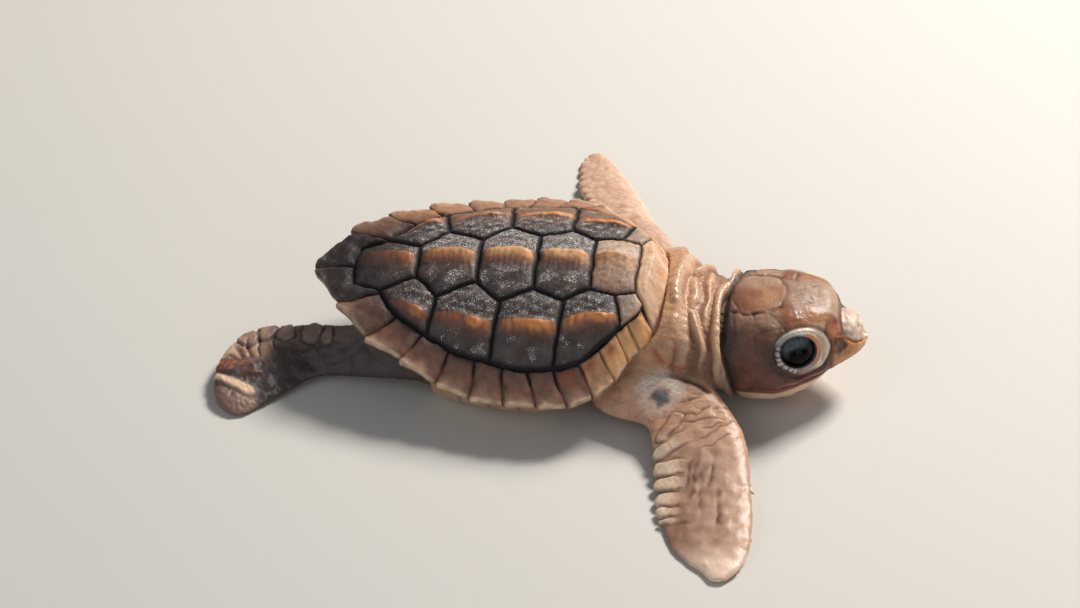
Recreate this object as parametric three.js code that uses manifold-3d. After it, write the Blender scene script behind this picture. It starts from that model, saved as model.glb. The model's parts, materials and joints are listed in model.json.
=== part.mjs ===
// Loggerhead sea turtle hatchling, life size, crawling: it leans a little on its right side and all four
// flippers lie on the ground. Millimetres, +Z up, +X towards the head, +Y towards the turtle's left.
import * as THREE from 'three';
import { mergeVertices } from 'three/addons/utils/BufferGeometryUtils.js';
import Module from 'manifold-3d';

const wasm = await Module();
wasm.setup();

// ---- Stance -------------------------------------------------------------------------------------
const SHELL_ROLL = THREE.MathUtils.degToRad(10.2); // the right edge of the shell hangs lower
const SHELL_PITCH = THREE.MathUtils.degToRad(1.8); // the front of the shell is a little higher
const SHELL_LIFT = 0.24; // plastron plane above the ground, before the belly is pressed flat
const GAP = 0.3; // clear space between neighbouring solids

// ---- Shell --------------------------------------------------------------------------------------
// The shell frame has Z = 0 on the plastron and Y = 0 in the plane of symmetry. The lists hold the
// left half; the right half mirrors it.
const CROWN_HEIGHT = 16.75; // vertebral scutes above the plastron at mid length
const CROWN_SLOPE = 0.086; // rise towards the front
const CROWN_BEND = 0.0045; // fall towards both ends, per millimetre squared
const CROWN_ARCH = 0.0285; // fall towards both sides, per millimetre squared
const SCUTE_THICK = 0.9;
const MARGIN_THICK = 1.1;
const SEAM = 0.4; // width of the seams between scutes
const PILLOW = 0.35; // how far a scute swells above its edge
const VERTEBRAL_KEEL = 0.75;
const COSTAL_KEEL = 0.55;

// Where the seams between the marginal scutes meet the rim, from the nuchal scute to the tail.
const RIM_FRONT = [21.9, 0, 13.8];
const RIM_SEAMS = [
  [21.2, 6.8, 11.0], [19.4, 8.8, 10.8], [17.9, 10.4, 10.4], [16.5, 13.0, 9.4], [14.0, 15.4, 8.8],
  [10.8, 17.3, 8.8], [6.8, 17.85, 8.8], [2.6, 17.7, 8.85], [-1.9, 16.95, 8.8], [-6.3, 15.55, 9.5],
  [-11.1, 13.1, 11.0], [-15.9, 10.45, 11.8], [-20.05, 6.2, 13.2],
];
const RIM_TAIL = [-23.5, 0, 12.6];

// Corners where three scutes of the back meet: v vertebral, c costal, m marginal, n nuchal.
const CORNER = {
  v1n: [18.25, 4.0], v1c: [15.85, 4.75], v12: [12.45, 4.1], v2c: [9.1, 6.0], v23: [5.15, 4.5],
  v3c: [0.95, 6.3], v34: [-2.45, 3.7], v4c: [-7.25, 5.5], v45: [-10.4, 2.6], v5m: [-15.05, 4.3],
  v5r: [-18.4, 3.0], cnm: [19.4, 5.4], c12m: [16.95, 8.85], c23m: [8.65, 13.8], c34m: [0.3, 13.3],
  c45m: [-8.15, 10.35],
};
const V5_REAR = [-18.8, 0];

// ---- Plastron -----------------------------------------------------------------------------------
const PLASTRON_THICK = 0.8;
const BELLY_ARCH = 0.012; // rise towards the sides, per millimetre squared
const BELLY_BEND = 0.004; // rise towards both ends, per millimetre squared
const PLASTRON_HALF_LENGTH = 17.2;
const PLASTRON_HALF_WIDTH = 10.4;
const PLASTRON_NAMES = ['gular', 'humeral', 'pectoral', 'abdominal', 'femoral', 'anal'];
const PLASTRON_SEAMS = [16.8, 13.2, 8.2, 2.6, -4.4, -10.6, -16.6];
const BRIDGE_FRONT = 8.2;
const BRIDGE_REAR = -7.6;

// ---- Head ---------------------------------------------------------------------------------------
const HEAD_BACK = [29.6, -3.0, 7.45]; // centre of the head's rear end
const HEAD_YAW = THREE.MathUtils.degToRad(5);
// Stations along the head: distance from the rear, half width, height above and below the axis,
// squareness (2 is an ellipse).
const HEAD_STATIONS = [
  [-1.6, 7.2, 5.8, 6.2, 2.3], [1.2, 8.4, 6.65, 7.1, 2.4], [4.2, 8.8, 7.0, 7.2, 2.5],
  [7.0, 8.6, 7.1, 6.9, 2.5], [9.2, 8.0, 7.1, 6.2, 2.45], [11.2, 7.0, 6.85, 5.0, 2.4],
  [12.4, 6.2, 6.65, 3.9, 2.35], [13.3, 5.5, 6.3, 3.2, 2.3], [13.9, 4.9, 5.4, 2.8, 2.2],
  [14.6, 4.4, 3.5, 2.5, 2.2], [16.2, 3.1, 2.9, 1.9, 2.1], [17.0, 2.1, 1.9, 1.6, 2.0],
  [17.7, 0.8, 0.2, 1.2, 2.0],
];
const HEAD_SIDES = 20;
const MOUTH_GAP = 0.3;
// The mouth line, seen from the side: distance from the rear and height of its corner, bend and front.
const MOUTH_CORNER = [3.6, -2.6];
const MOUTH_BEND = [11.5, -1.2];
const MOUTH_FRONT = [19.5, -1.1];
// The beak's upper edge, seen from the side: distance from the rear and height of its ends.
const BEAK_REAR = [13.4, 3.3];
const BEAK_FRONT = [17.3, 0.65];
const EYE_AT = [8.35, 4.9, 2.1]; // centre of the left eyeball in the head's frame
const EYE_RADIUS = 3.2;
const EYE_TILT = THREE.MathUtils.degToRad(14); // the eyes look a little upwards
const EYE_FORWARD = THREE.MathUtils.degToRad(12); // and a little forwards
const EYE_OPENING = [3.05, 2.3]; // half length and half height between the lids
const LID_REACH = [4.5, 4.0]; // half length and half height of the swelling round the eye
const LID_STAND = 3.7; // how far the swelling reaches out from the eye's centre

// ---- Neck ---------------------------------------------------------------------------------------
// Stations: x, y, z of the centre, half width, half height.
const NECK_SIDES = 16;
const NECK_STATIONS = [
  [16.0, -0.8, 7.4, 9.2, 5.4], [21.6, -0.9, 7.3, 11.4, 7.2], [23.3, -1.0, 7.2, 11.2, 7.5],
  [24.2, -1.3, 7.2, 10.4, 6.8], [25.0, -1.7, 7.2, 10.6, 7.0], [25.8, -2.0, 7.1, 9.8, 6.5],
  [26.7, -2.3, 7.1, 10.0, 6.9], [27.4, -2.5, 7.1, 9.3, 6.4], [28.4, -2.8, 7.1, 9.8, 6.9],
  [29.6, -3.0, 7.1, 8.8, 6.5],
];

// ---- Flippers -----------------------------------------------------------------------------------
// Stations from the body to the tip: leading edge x, y, z, trailing edge x, y, z, half thickness.
const FRONT_RIGHT = [
  [25.0, -6.5, 6.4, 10.6, -11.0, 4.2, 4.4], [28.2, -11.6, 5.2, 14.2, -15.2, 3.0, 3.5],
  [31.2, -15.2, 4.3, 20.2, -17.6, 3.2, 2.5], [33.3, -18.4, 3.3, 21.6, -21.2, 2.2, 1.9],
  [34.4, -22.4, 2.3, 22.4, -24.8, 1.1, 1.6], [35.1, -27.0, 1.7, 23.0, -28.6, 0.65, 1.4],
  [35.7, -31.2, 1.35, 23.9, -32.6, 0.5, 1.25], [36.0, -35.0, 1.1, 25.0, -36.2, 0.4, 1.1],
  [35.8, -38.2, 0.9, 26.9, -39.4, 0.4, 0.95], [34.9, -40.9, 0.7, 29.3, -41.8, 0.4, 0.8],
  [33.4, -42.9, 0.5, 31.6, -43.2, 0.4, 0.6],
];
const FRONT_LEFT = [
  [23.0, 6.5, 8.8, 9.6, 9.5, 7.4, 3.8], [20.6, 13.2, 7.9, 9.6, 15.4, 6.6, 3.3],
  [17.6, 19.2, 6.5, 9.2, 20.6, 5.3, 2.7], [15.9, 24.6, 4.8, 8.2, 25.2, 3.8, 2.1],
  [14.6, 28.8, 3.3, 7.0, 29.0, 2.4, 1.7], [13.0, 33.0, 2.1, 5.8, 33.2, 1.1, 1.4],
  [11.3, 36.8, 1.2, 5.3, 37.0, 0.5, 1.15], [9.6, 39.8, 0.8, 5.4, 39.9, 0.4, 0.9],
  [7.9, 41.8, 0.5, 6.2, 41.9, 0.4, 0.6],
];
const REAR_RIGHT = [
  [-12.0, -4.2, 5.6, -7.6, -13.4, 3.9, 3.0], [-19.0, -5.2, 4.7, -17.2, -12.0, 2.4, 2.5],
  [-23.8, -5.0, 3.8, -22.8, -11.4, 1.3, 2.0], [-28.0, -5.1, 3.2, -25.6, -13.4, 0.8, 1.7],
  [-31.6, -5.6, 2.7, -27.6, -15.6, 0.6, 1.55], [-34.5, -7.4, 2.2, -29.2, -17.2, 0.5, 1.4],
  [-36.1, -10.8, 1.8, -30.4, -18.5, 0.45, 1.3], [-36.2, -15.0, 1.3, -31.4, -19.3, 0.4, 1.1],
  [-35.2, -18.0, 0.8, -32.8, -19.7, 0.4, 0.7],
];
const REAR_LEFT = [
  [-7.6, 7.8, 7.6, -13.6, 4.4, 6.0, 2.8], [-7.4, 12.6, 6.0, -14.8, 9.6, 4.2, 2.3],
  [-7.8, 16.4, 4.5, -15.6, 13.2, 2.9, 1.9], [-8.8, 19.8, 3.1, -16.2, 16.8, 1.8, 1.6],
  [-10.2, 22.8, 1.8, -16.6, 20.2, 0.8, 1.3], [-12.0, 25.0, 1.0, -16.2, 23.2, 0.5, 1.0],
  [-13.6, 26.0, 0.6, -15.4, 25.2, 0.4, 0.6],
];
const FLIPPER_SIDES = 12;
const CLAW_LENGTH = 1.1; // one small claw stands on the leading edge of each flipper
const CLAW_RADIUS = 0.4;
const FRONT_CLAW = 5; // station the claw stands on
const REAR_RIGHT_CLAW = 5;
const REAR_LEFT_CLAW = 3;

// ---- Tail ---------------------------------------------------------------------------------------
const TAIL_STATIONS = [
  [-13.5, -1.0, 6.2, 3.4, 2.6], [-17.5, -1.2, 5.4, 2.5, 2.0], [-20.5, -1.4, 4.6, 1.6, 1.3],
  [-22.6, -1.5, 3.9, 0.7, 0.6],
];

// ---- Finishes -----------------------------------------------------------------------------------
const finish = (color, roughness) => new THREE.MeshStandardMaterial({ color, roughness, metalness: 0 });
const DARK_SCUTE = finish(0x4a3f3d, 0.6);
const TAN_SCUTE = finish(0xb98a62, 0.6);
const MARGIN_SCUTE = finish(0x8f6448, 0.55);
const BELLY_SCUTE = finish(0xd8b79a, 0.6);
const SKIN = finish(0xcf9c78, 0.5);
const HEAD_SKIN = finish(0xa8683f, 0.5);
const LIMB_SKIN = finish(0xd3a687, 0.5);
const DARK_SKIN = finish(0x6b5a52, 0.55);
const HORN = finish(0xc07f42, 0.4);
const EYE = finish(0x0c0b0d, 0.08);

// ---- Geometry helpers ---------------------------------------------------------------------------
const lerp = THREE.MathUtils.lerp;

function solid(points, triangles) {
  const geometry = new THREE.BufferGeometry();
  geometry.setAttribute('position', new THREE.Float32BufferAttribute(points.flat(), 3));
  geometry.setIndex(triangles.flat());
  return geometry;
}

// Rings of equal length are joined one after the other and closed at both ends by a fan.
function ringSolid(rings, firstTip, lastTip) {
  const sides = rings[0].length;
  const points = [...rings.flat(), firstTip, lastTip];
  const first = rings.length * sides;
  const triangles = [];
  for (let j = 0; j < sides; j += 1) {
    const k = (j + 1) % sides;
    triangles.push([first, k, j]);
    for (let i = 0; i + 1 < rings.length; i += 1) {
      const low = i * sides;
      const high = low + sides;
      triangles.push([low + j, low + k, high + k], [low + j, high + k, high + j]);
    }
    const last = (rings.length - 1) * sides;
    triangles.push([first + 1, last + j, last + k]);
  }
  return solid(points, triangles);
}

function middle(ring) {
  const sum = ring.reduce((a, p) => [a[0] + p[0], a[1] + p[1], a[2] + p[2]], [0, 0, 0]);
  return sum.map((v) => v / ring.length);
}

function toManifold(geometry) {
  const bare = new THREE.BufferGeometry();
  bare.setAttribute('position', geometry.getAttribute('position').clone());
  bare.setIndex(geometry.getIndex());
  const merged = mergeVertices(bare, 1e-5);
  return new wasm.Manifold(new wasm.Mesh({
    numProp: 3,
    vertProperties: Float32Array.from(merged.getAttribute('position').array),
    triVerts: Uint32Array.from(merged.getIndex().array),
  }));
}

function toGeometry(manifold) {
  const mesh = manifold.getMesh();
  const geometry = new THREE.BufferGeometry();
  geometry.setAttribute('position', new THREE.Float32BufferAttribute(mesh.vertProperties, 3));
  geometry.setIndex(Array.from(mesh.triVerts));
  return geometry;
}

const mirrored = ([x, y, ...rest]) => [x, -y, ...rest];

// ---- The shell's surface ------------------------------------------------------------------------
const rimHalf = [RIM_FRONT, ...RIM_SEAMS, RIM_TAIL];
const rimLoop = [...rimHalf, ...RIM_SEAMS.slice().reverse().map(mirrored)];
const rimCurve = new THREE.CatmullRomCurve3(
  rimLoop.map((p) => new THREE.Vector3(...p)), true, 'catmullrom', 0.5);
const rimTable = rimCurve.getPoints(40 * rimLoop.length)
  .slice(0, -1)
  .map((p) => ({ angle: Math.atan2(p.y, p.x), reach: Math.hypot(p.x, p.y), z: p.z }))
  .sort((a, b) => a.angle - b.angle);

// Value of a table of { angle, ... } rows at an angle, going round through +-180 degrees.
function roundTable(table, angle, key) {
  let high = table.findIndex((row) => row.angle > angle);
  if (high < 0) high = 0;
  const low = (high + table.length - 1) % table.length;
  const span = (table[high].angle - table[low].angle + 2 * Math.PI) % (2 * Math.PI);
  const part = (angle - table[low].angle + 2 * Math.PI) % (2 * Math.PI);
  return lerp(table[low][key], table[high][key], span > 0 ? part / span : 0);
}

// The inner edge of the marginal scutes, as a share of the way from the centre to the rim.
const INNER_CORNERS = ['cnm', 'c12m', 'c23m', 'c34m', 'c45m', 'v5m', 'v5r'];
const innerTable = [...INNER_CORNERS.map((name) => CORNER[name]), V5_REAR]
  .flatMap((p) => (p[1] === 0 ? [p] : [p, mirrored(p)]))
  .map(([x, y]) => ({ angle: Math.atan2(y, x), reach: Math.hypot(x, y) }))
  .map((row) => ({ ...row, share: row.reach / roundTable(rimTable, row.angle, 'reach') }))
  .sort((a, b) => a.angle - b.angle);

const rimReach = (angle) => roundTable(rimTable, angle, 'reach');
const innerShare = (angle) => roundTable(innerTable, angle, 'share');

function crown(x, y) {
  return CROWN_HEIGHT + CROWN_SLOPE * x - CROWN_BEND * x * x - CROWN_ARCH * y * y;
}

// Height of the smooth shell: the arch of the back, then the flared band of the marginal scutes.
function shellTop(x, y) {
  const angle = Math.atan2(y, x);
  const reach = rimReach(angle);
  const share = Math.hypot(x, y) / reach;
  const inner = innerShare(angle);
  if (share <= inner) return crown(x, y);
  const scale = (inner * reach) / Math.hypot(x, y);
  const start = crown(x * scale, y * scale);
  const along = Math.min(1, (share - inner) / (1 - inner));
  return lerp(roundTable(rimTable, angle, 'z'), start, (1 - along) ** 1.25);
}

function bellyBottom(x, y) {
  return BELLY_ARCH * y * y + BELLY_BEND * x * x;
}

function plastronHalfWidth(x) {
  const part = Math.min(1, Math.abs(x) / PLASTRON_HALF_LENGTH);
  return PLASTRON_HALF_WIDTH * Math.sqrt(1 - part ** 2.6);
}

// ---- Scutes of the back -------------------------------------------------------------------------
function edgePoints(from, to, count) {
  return Array.from({ length: count }, (_, i) => [
    lerp(from[0], to[0], i / count), lerp(from[1], to[1], i / count)]);
}

// Points along the inner edge of the marginal scutes, from one corner to the next.
function innerEdgePoints(from, to, count) {
  const start = Math.atan2(from[1], from[0]);
  let turn = Math.atan2(to[1], to[0]) - start;
  if (turn > Math.PI) turn -= 2 * Math.PI;
  if (turn < -Math.PI) turn += 2 * Math.PI;
  return Array.from({ length: count }, (_, i) => {
    const angle = Math.atan2(Math.sin(start + (turn * i) / count), Math.cos(start + (turn * i) / count));
    const reach = rimReach(angle) * innerShare(angle);
    return [reach * Math.cos(angle), reach * Math.sin(angle)];
  });
}

function signedArea(loop) {
  return loop.reduce((sum, [x, y], i) => {
    const [u, v] = loop[(i + 1) % loop.length];
    return sum + (x * v - u * y) / 2;
  }, 0);
}

// Moves every side of a counter-clockwise loop inwards.
function inset(loop, distance) {
  const count = loop.length;
  return loop.map(([x, y], i) => {
    const [ax, ay] = loop[(i + count - 1) % count];
    const [bx, by] = loop[(i + 1) % count];
    const before = Math.hypot(x - ax, y - ay);
    const after = Math.hypot(bx - x, by - y);
    const n1 = [-(y - ay) / before, (x - ax) / before];
    const n2 = [-(by - y) / after, (bx - x) / after];
    const spread = Math.max(0.4, 1 + n1[0] * n2[0] + n1[1] * n2[1]);
    return [x + (distance * (n1[0] + n2[0])) / spread, y + (distance * (n1[1] + n2[1])) / spread];
  });
}

function towards(loop, centre, part) {
  return loop.map(([x, y]) => [lerp(x, centre[0], part), lerp(y, centre[1], part)]);
}

// A plate that follows a surface: rounded edge, swollen top, even thickness.
function plate(outline, top, thickness, relief, knob) {
  const loop = signedArea(outline) > 0 ? outline : outline.slice().reverse();
  const edge = inset(loop, SEAM / 2);
  const shoulder = inset(loop, SEAM / 2 + 0.25);
  const centre = knob ?? middle(edge.map(([x, y]) => [x, y, 0])).slice(0, 2);
  const raise = (points, share) => points.map(([x, y]) => [x, y, top(x, y) + share(x, y)]);
  const under = (points) => raise(points, () => -thickness);
  const rings = [
    under(towards(edge, centre, 0.5)),
    under(edge),
    raise(edge, () => -0.4),
    raise(shoulder, (x, y) => 0.3 * relief(x, y)),
    raise(towards(shoulder, centre, 0.3), (x, y) => 0.7 * PILLOW + 0.8 * relief(x, y)),
    raise(towards(shoulder, centre, 0.68), (x, y) => PILLOW + relief(x, y)),
  ];
  const bottomTip = under([centre])[0];
  const topTip = raise([centre], (x, y) => PILLOW + relief(x, y))[0];
  return ringSolid(rings, bottomTip, topTip);
}

// ---- Carapace -----------------------------------------------------------------------------------
function vertebralOutline(index) {
  const c = CORNER;
  const halves = [
    [c.v1n, c.v1c, c.v12], [c.v12, c.v2c, c.v23], [c.v23, c.v3c, c.v34], [c.v34, c.v4c, c.v45],
    [c.v45, c.v5m, c.v5r],
  ];
  const left = halves[index];
  const front = left[0];
  const rear = left[left.length - 1];
  const leftSide = left.slice(0, -1).flatMap((p, i) => edgePoints(p, left[i + 1], 2));
  const right = left.slice().reverse().map(mirrored);
  const rightSide = right.slice(0, -1).flatMap((p, i) => edgePoints(p, right[i + 1], 2));
  const rearEdge = index < 4
    ? edgePoints(rear, mirrored(rear), 2)
    : innerEdgePoints(rear, mirrored(rear), 2);
  return [...leftSide, ...rearEdge, ...rightSide, ...edgePoints(mirrored(front), front, 2)];
}

function costalOutline(index) {
  const c = CORNER;
  const inner = [
    [c.v1n, c.v1c], [c.v1c, c.v12, c.v2c], [c.v2c, c.v23, c.v3c], [c.v3c, c.v34, c.v4c],
    [c.v4c, c.v45, c.v5m],
  ][index];
  const outer = [
    [c.c12m, c.cnm], [c.c23m, c.c12m], [c.c34m, c.c23m], [c.c45m, c.c34m], [c.v5m, c.c45m],
  ][index];
  const innerSide = inner.slice(0, -1).flatMap((p, i) => edgePoints(p, inner[i + 1], 2));
  const rear = inner[inner.length - 1];
  const rearEdge = index < 4 ? edgePoints(rear, outer[0], index === 0 ? 1 : 4) : [];
  const frontCount = index === 0 ? 1 : 4;
  return [
    ...innerSide, ...rearEdge, ...innerEdgePoints(outer[0], outer[1], index === 0 ? 2 : 3),
    ...edgePoints(outer[1], inner[0], frontCount),
  ];
}

// A low keel runs along the middle of the vertebral scutes and of each row of costal scutes.
const vertebralKeel = (x, y) => VERTEBRAL_KEEL * Math.exp(-((y / 1.3) ** 2));

function costalKeelY(x) {
  return 9.2 - 0.012 * (x - 3) ** 2;
}

function costalKeel(x, y) {
  return COSTAL_KEEL * Math.exp(-(((Math.abs(y) - costalKeelY(x)) / 1.4) ** 2));
}

const COSTAL_KNOBS = [null, [13.2, 9.4], [5.6, 9.3], [-2.6, 8.8], [-9.6, 6.9]];

const nuchalOutline = [
  ...edgePoints(CORNER.v1n, CORNER.cnm, 1),
  ...edgePoints(CORNER.cnm, RIM_SEAMS[0], 2),
  ...rimPoints(RIM_SEAMS[0], mirrored(RIM_SEAMS[0]), 6),
  ...edgePoints(mirrored(RIM_SEAMS[0]), mirrored(CORNER.cnm), 2),
  ...edgePoints(mirrored(CORNER.cnm), mirrored(CORNER.v1n), 1),
  ...edgePoints(mirrored(CORNER.v1n), CORNER.v1n, 2),
];

function rimPoints(from, to, count) {
  const start = Math.atan2(from[1], from[0]);
  const turn = Math.atan2(to[1], to[0]) - start;
  return Array.from({ length: count }, (_, i) => {
    const angle = start + (turn * i) / count;
    return [rimReach(angle) * Math.cos(angle), rimReach(angle) * Math.sin(angle)];
  });
}

// ---- Marginal scutes ----------------------------------------------------------------------------
// One band per side. It dips at each seam, and each scute's rear corner stands out from the rim.
const MARGINAL_COUNT = RIM_SEAMS.length;
const SEAM_HALF = 0.32; // half width of the dip at a seam
const SEAM_DIP = 0.28;

function cornerReach(index) {
  const towardsTail = index / (MARGINAL_COUNT - 1);
  return 0.1 + 0.6 * towardsTail ** 1.5;
}

function marginSection(angle, standOut, dip) {
  const rim = rimReach(angle);
  const inner = innerShare(angle) * rim + SEAM / 2;
  const at = (part, rise) => {
    const reach = lerp(inner, rim + standOut, part);
    const z = shellAt(angle, Math.min(1, reach / rim), -rise)[1];
    return [reach * Math.cos(angle), reach * Math.sin(angle), z];
  };
  return [
    at(0, -0.35 - dip), at(0.14, 0.05 - dip), at(0.5, 0.2 - dip), at(0.86, 0.12 - dip * 0.6),
    at(1, -0.1 - dip * 0.4), at(1, -MARGIN_THICK + 0.1), at(0.6, -MARGIN_THICK), at(0, -SCUTE_THICK),
  ];
}

function marginBand(side) {
  const half = [...RIM_SEAMS, RIM_TAIL];
  const sections = [];
  const station = (x, y, standOut, dip) => {
    sections.push(marginSection(Math.atan2(y * side, x), standOut, dip));
  };
  for (let i = 0; i < MARGINAL_COUNT; i += 1) {
    const length = Math.hypot(half[i + 1][0] - half[i][0], half[i + 1][1] - half[i][1]);
    const first = i === 0 ? SEAM / (2 * length) : SEAM_HALF / length;
    const last = i === MARGINAL_COUNT - 1 ? 1 - SEAM / (2 * length) : 1 - SEAM_HALF / length;
    const seat = (t, standOut, dip) => {
      const p = rimBetween(i, t);
      station(p.x, p.y, standOut, dip);
    };
    if (i > 0) seat(0, 0, SEAM_DIP);
    seat(first, 0.05, 0);
    if (i === MARGINAL_COUNT - 1) station(...CORNER.v5r, 0.35, 0);
    seat(last, cornerReach(i), 0);
  }
  if (side > 0) sections.reverse();
  return ringSolid(sections, middle(sections[0]), middle(sections[sections.length - 1]));
}

// Point of the rim between two neighbouring seams of the left half.
function rimBetween(index, t) {
  return rimCurve.getPoint((index + 1 + t) / rimLoop.length);
}

// ---- Trunk and the space the whole shell fills --------------------------------------------------
const TRUNK_STEPS = 28;
const ENVELOPE_STEPS = 44;

function roundRings(profile, steps) {
  const count = profile(0).length;
  return Array.from({ length: count }, (_, i) => Array.from({ length: steps }, (_unused, j) => {
    const angle = -Math.PI + (2 * Math.PI * (j + 0.5)) / steps;
    const [reach, z] = profile(angle)[i];
    return [reach * Math.cos(angle), reach * Math.sin(angle), z];
  }));
}

// Distance from the centre to the edge of the plastron.
function plastronReach(angle) {
  let reach = 0.3 * PLASTRON_HALF_WIDTH;
  const step = 0.1;
  while (Math.abs(reach * Math.sin(angle)) < plastronHalfWidth(reach * Math.cos(angle))
    && Math.abs(reach * Math.cos(angle)) < PLASTRON_HALF_LENGTH) {
    reach += step;
  }
  return reach;
}

// Distance from the centre and height of a point of the smooth shell, lowered by a fall.
function shellAt(angle, share, fall) {
  const reach = share * rimReach(angle);
  return [reach, shellTop(reach * Math.cos(angle), reach * Math.sin(angle)) - fall];
}

// The trunk's side: under the marginal scutes, half way down and at the plastron.
function trunkSide(angle) {
  const under = shellAt(angle, lerp(innerShare(angle), 1, 0.62), MARGIN_THICK + GAP + 0.15);
  const foot = plastronReach(angle) - 0.6;
  const footZ = bellyBottom(foot * Math.cos(angle), foot * Math.sin(angle)) + PLASTRON_THICK + GAP + 0.1;
  const flank = [lerp(under[0], foot, 0.35), lerp(under[1], footZ, 0.45)];
  return [under, flank, [foot, footZ]];
}

function trunkSolid() {
  const drop = SCUTE_THICK + GAP + 0.05;
  const profile = (angle) => {
    const inner = innerShare(angle);
    const side = trunkSide(angle);
    const half = side[2][0] / 2;
    const low = bellyBottom(half * Math.cos(angle), half * Math.sin(angle)) + PLASTRON_THICK + GAP;
    return [
      shellAt(angle, 0.3, drop), shellAt(angle, 0.6 * inner + 0.1, drop),
      shellAt(angle, inner - 0.03, drop + 0.1), ...side, [half, low],
    ];
  };
  const rings = roundRings(profile, TRUNK_STEPS).reverse();
  const bottom = [0, 0, PLASTRON_THICK + GAP];
  const top = [0, 0, shellTop(0.001, 0) - drop];
  return ringSolid(rings, bottom, top);
}

// The outside of shell, trunk and plastron together, grown by a clearance.
function shellEnvelope(clearance) {
  const profile = (angle) => {
    const reach = rimReach(angle);
    const foot = plastronReach(angle) + clearance;
    const footZ = bellyBottom(foot * Math.cos(angle), foot * Math.sin(angle)) - clearance;
    const rim = roundTable(rimTable, angle, 'z');
    const inner = innerShare(angle) * reach;
    const innerZ = crown(inner * Math.cos(angle), inner * Math.sin(angle));
    const rimZ = rim - MARGIN_THICK - clearance - 0.1;
    const [under, flank] = trunkSide(angle);
    const bridged = Math.abs(flank[0] * Math.cos(angle)) < BRIDGE_FRONT + 1;
    const side = bridged
      ? [[lerp(foot, reach, 0.75) + 0.5, lerp(footZ, rimZ, 0.75) - 0.5],
        [lerp(foot, reach, 0.45) + 0.6, lerp(footZ, rimZ, 0.45) - 0.7]]
      : [[under[0] + clearance, Math.min(under[1], rimZ)], [flank[0] + clearance, flank[1]]];
    return [
      [inner, innerZ + clearance + 0.5], [reach + clearance, rim + clearance + 0.45],
      [reach + clearance, rimZ], ...side,
      [foot + 0.2, footZ + 0.8], [foot - 0.5, footZ - clearance],
    ];
  };
  const rings = roundRings(profile, ENVELOPE_STEPS).reverse();
  return ringSolid(rings, [0, 0, -clearance - 0.5], [0, 0, CROWN_HEIGHT + 3]);
}

// ---- Plastron plates ----------------------------------------------------------------------------
function plastronOutline(index, side) {
  const front = PLASTRON_SEAMS[index];
  const rear = PLASTRON_SEAMS[index + 1];
  const steps = index === 0 || index === PLASTRON_NAMES.length - 1 ? 4 : 3;
  const outer = Array.from({ length: steps + 1 }, (_, i) => {
    const x = lerp(front, rear, i / steps);
    return [x, plastronHalfWidth(x) * side];
  });
  return [[front, 0], ...outer, [rear, 0], [(front + rear) / 2, 0]];
}

function plastronPlate(index, side) {
  const outline = plastronOutline(index, side);
  const loop = signedArea(outline) > 0 ? outline : outline.slice().reverse();
  const edge = inset(loop, SEAM / 2);
  const shoulder = inset(loop, SEAM / 2 + 0.2);
  const centre = middle(edge.map(([x, y]) => [x, y, 0])).slice(0, 2);
  const raise = (points, rise) => points.map(([x, y]) => [x, y, bellyBottom(x, y) + rise]);
  const rings = [
    raise(towards(shoulder, centre, 0.45), 0),
    raise(shoulder, 0.05),
    raise(edge, 0.25),
    raise(edge, PLASTRON_THICK),
  ];
  return ringSolid(rings, raise([centre], 0)[0], raise([centre], PLASTRON_THICK)[0]);
}

// The bridge joins the plastron to the rim with a slanting plate.
function bridgePlate(side) {
  const steps = 5;
  const sections = Array.from({ length: steps + 1 }, (_, i) => {
    const x = lerp(BRIDGE_REAR, BRIDGE_FRONT, i / steps);
    const footY = plastronHalfWidth(x) + SEAM;
    const footZ = bellyBottom(x, footY) + 0.15;
    const angle = Math.atan2(footY * 1.5, x);
    const rim = roundTable(rimTable, angle, 'z') - MARGIN_THICK - GAP - 0.25;
    const topY = Math.abs(rimReach(angle) * Math.sin(angle)) - 1.5;
    const swell = [lerp(footY, topY, 0.5) + 0.35, lerp(footZ, rim, 0.5) - 0.5];
    return [
      [x, footY * side, footZ], [x, swell[0] * side, swell[1]], [x, topY * side, rim],
      [x, (topY - 0.5) * side, rim + 0.05], [x, (swell[0] - 0.55) * side, swell[1] + 0.65],
      [x, footY * side, footZ + 0.8],
    ];
  });
  if (side < 0) sections.reverse();
  return ringSolid(sections, middle(sections[0]), middle(sections[sections.length - 1]));
}

// ---- Head ---------------------------------------------------------------------------------------
function superPoint(angle, width, above, below, power) {
  const c = Math.cos(angle);
  const s = Math.sin(angle);
  const y = width * Math.sign(c) * Math.abs(c) ** (2 / power);
  const z = (s > 0 ? above : below) * Math.sign(s) * Math.abs(s) ** (2 / power);
  return [y, z];
}

function headSolid(grow) {
  const rings = HEAD_STATIONS.map(([x, width, above, below, power]) => (
    Array.from({ length: HEAD_SIDES }, (_, j) => {
      const angle = (2 * Math.PI * (j + 0.5)) / HEAD_SIDES;
      return [x, ...superPoint(angle, width + grow, above + grow, below + grow, power)];
    })));
  const first = HEAD_STATIONS[0];
  const last = HEAD_STATIONS[HEAD_STATIONS.length - 1];
  return ringSolid(rings, [first[0], 0, 0], [last[0] + 0.3, 0, -0.6]);
}

function eyeFrame(side) {
  const frame = new THREE.Group();
  frame.position.set(EYE_AT[0], EYE_AT[1] * side, EYE_AT[2]);
  frame.rotation.order = 'ZXY';
  frame.rotation.z = -EYE_FORWARD * side;
  frame.rotation.x = EYE_TILT * side;
  frame.updateMatrix();
  return frame.matrix;
}

// A swelling round the eye; its axis is the way the eye looks.
function lidSolid(side) {
  const shape = new THREE.SphereGeometry(1, 14, 9);
  shape.scale(LID_REACH[0], LID_STAND, LID_REACH[1]);
  return shape.applyMatrix4(eyeFrame(side));
}

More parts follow.
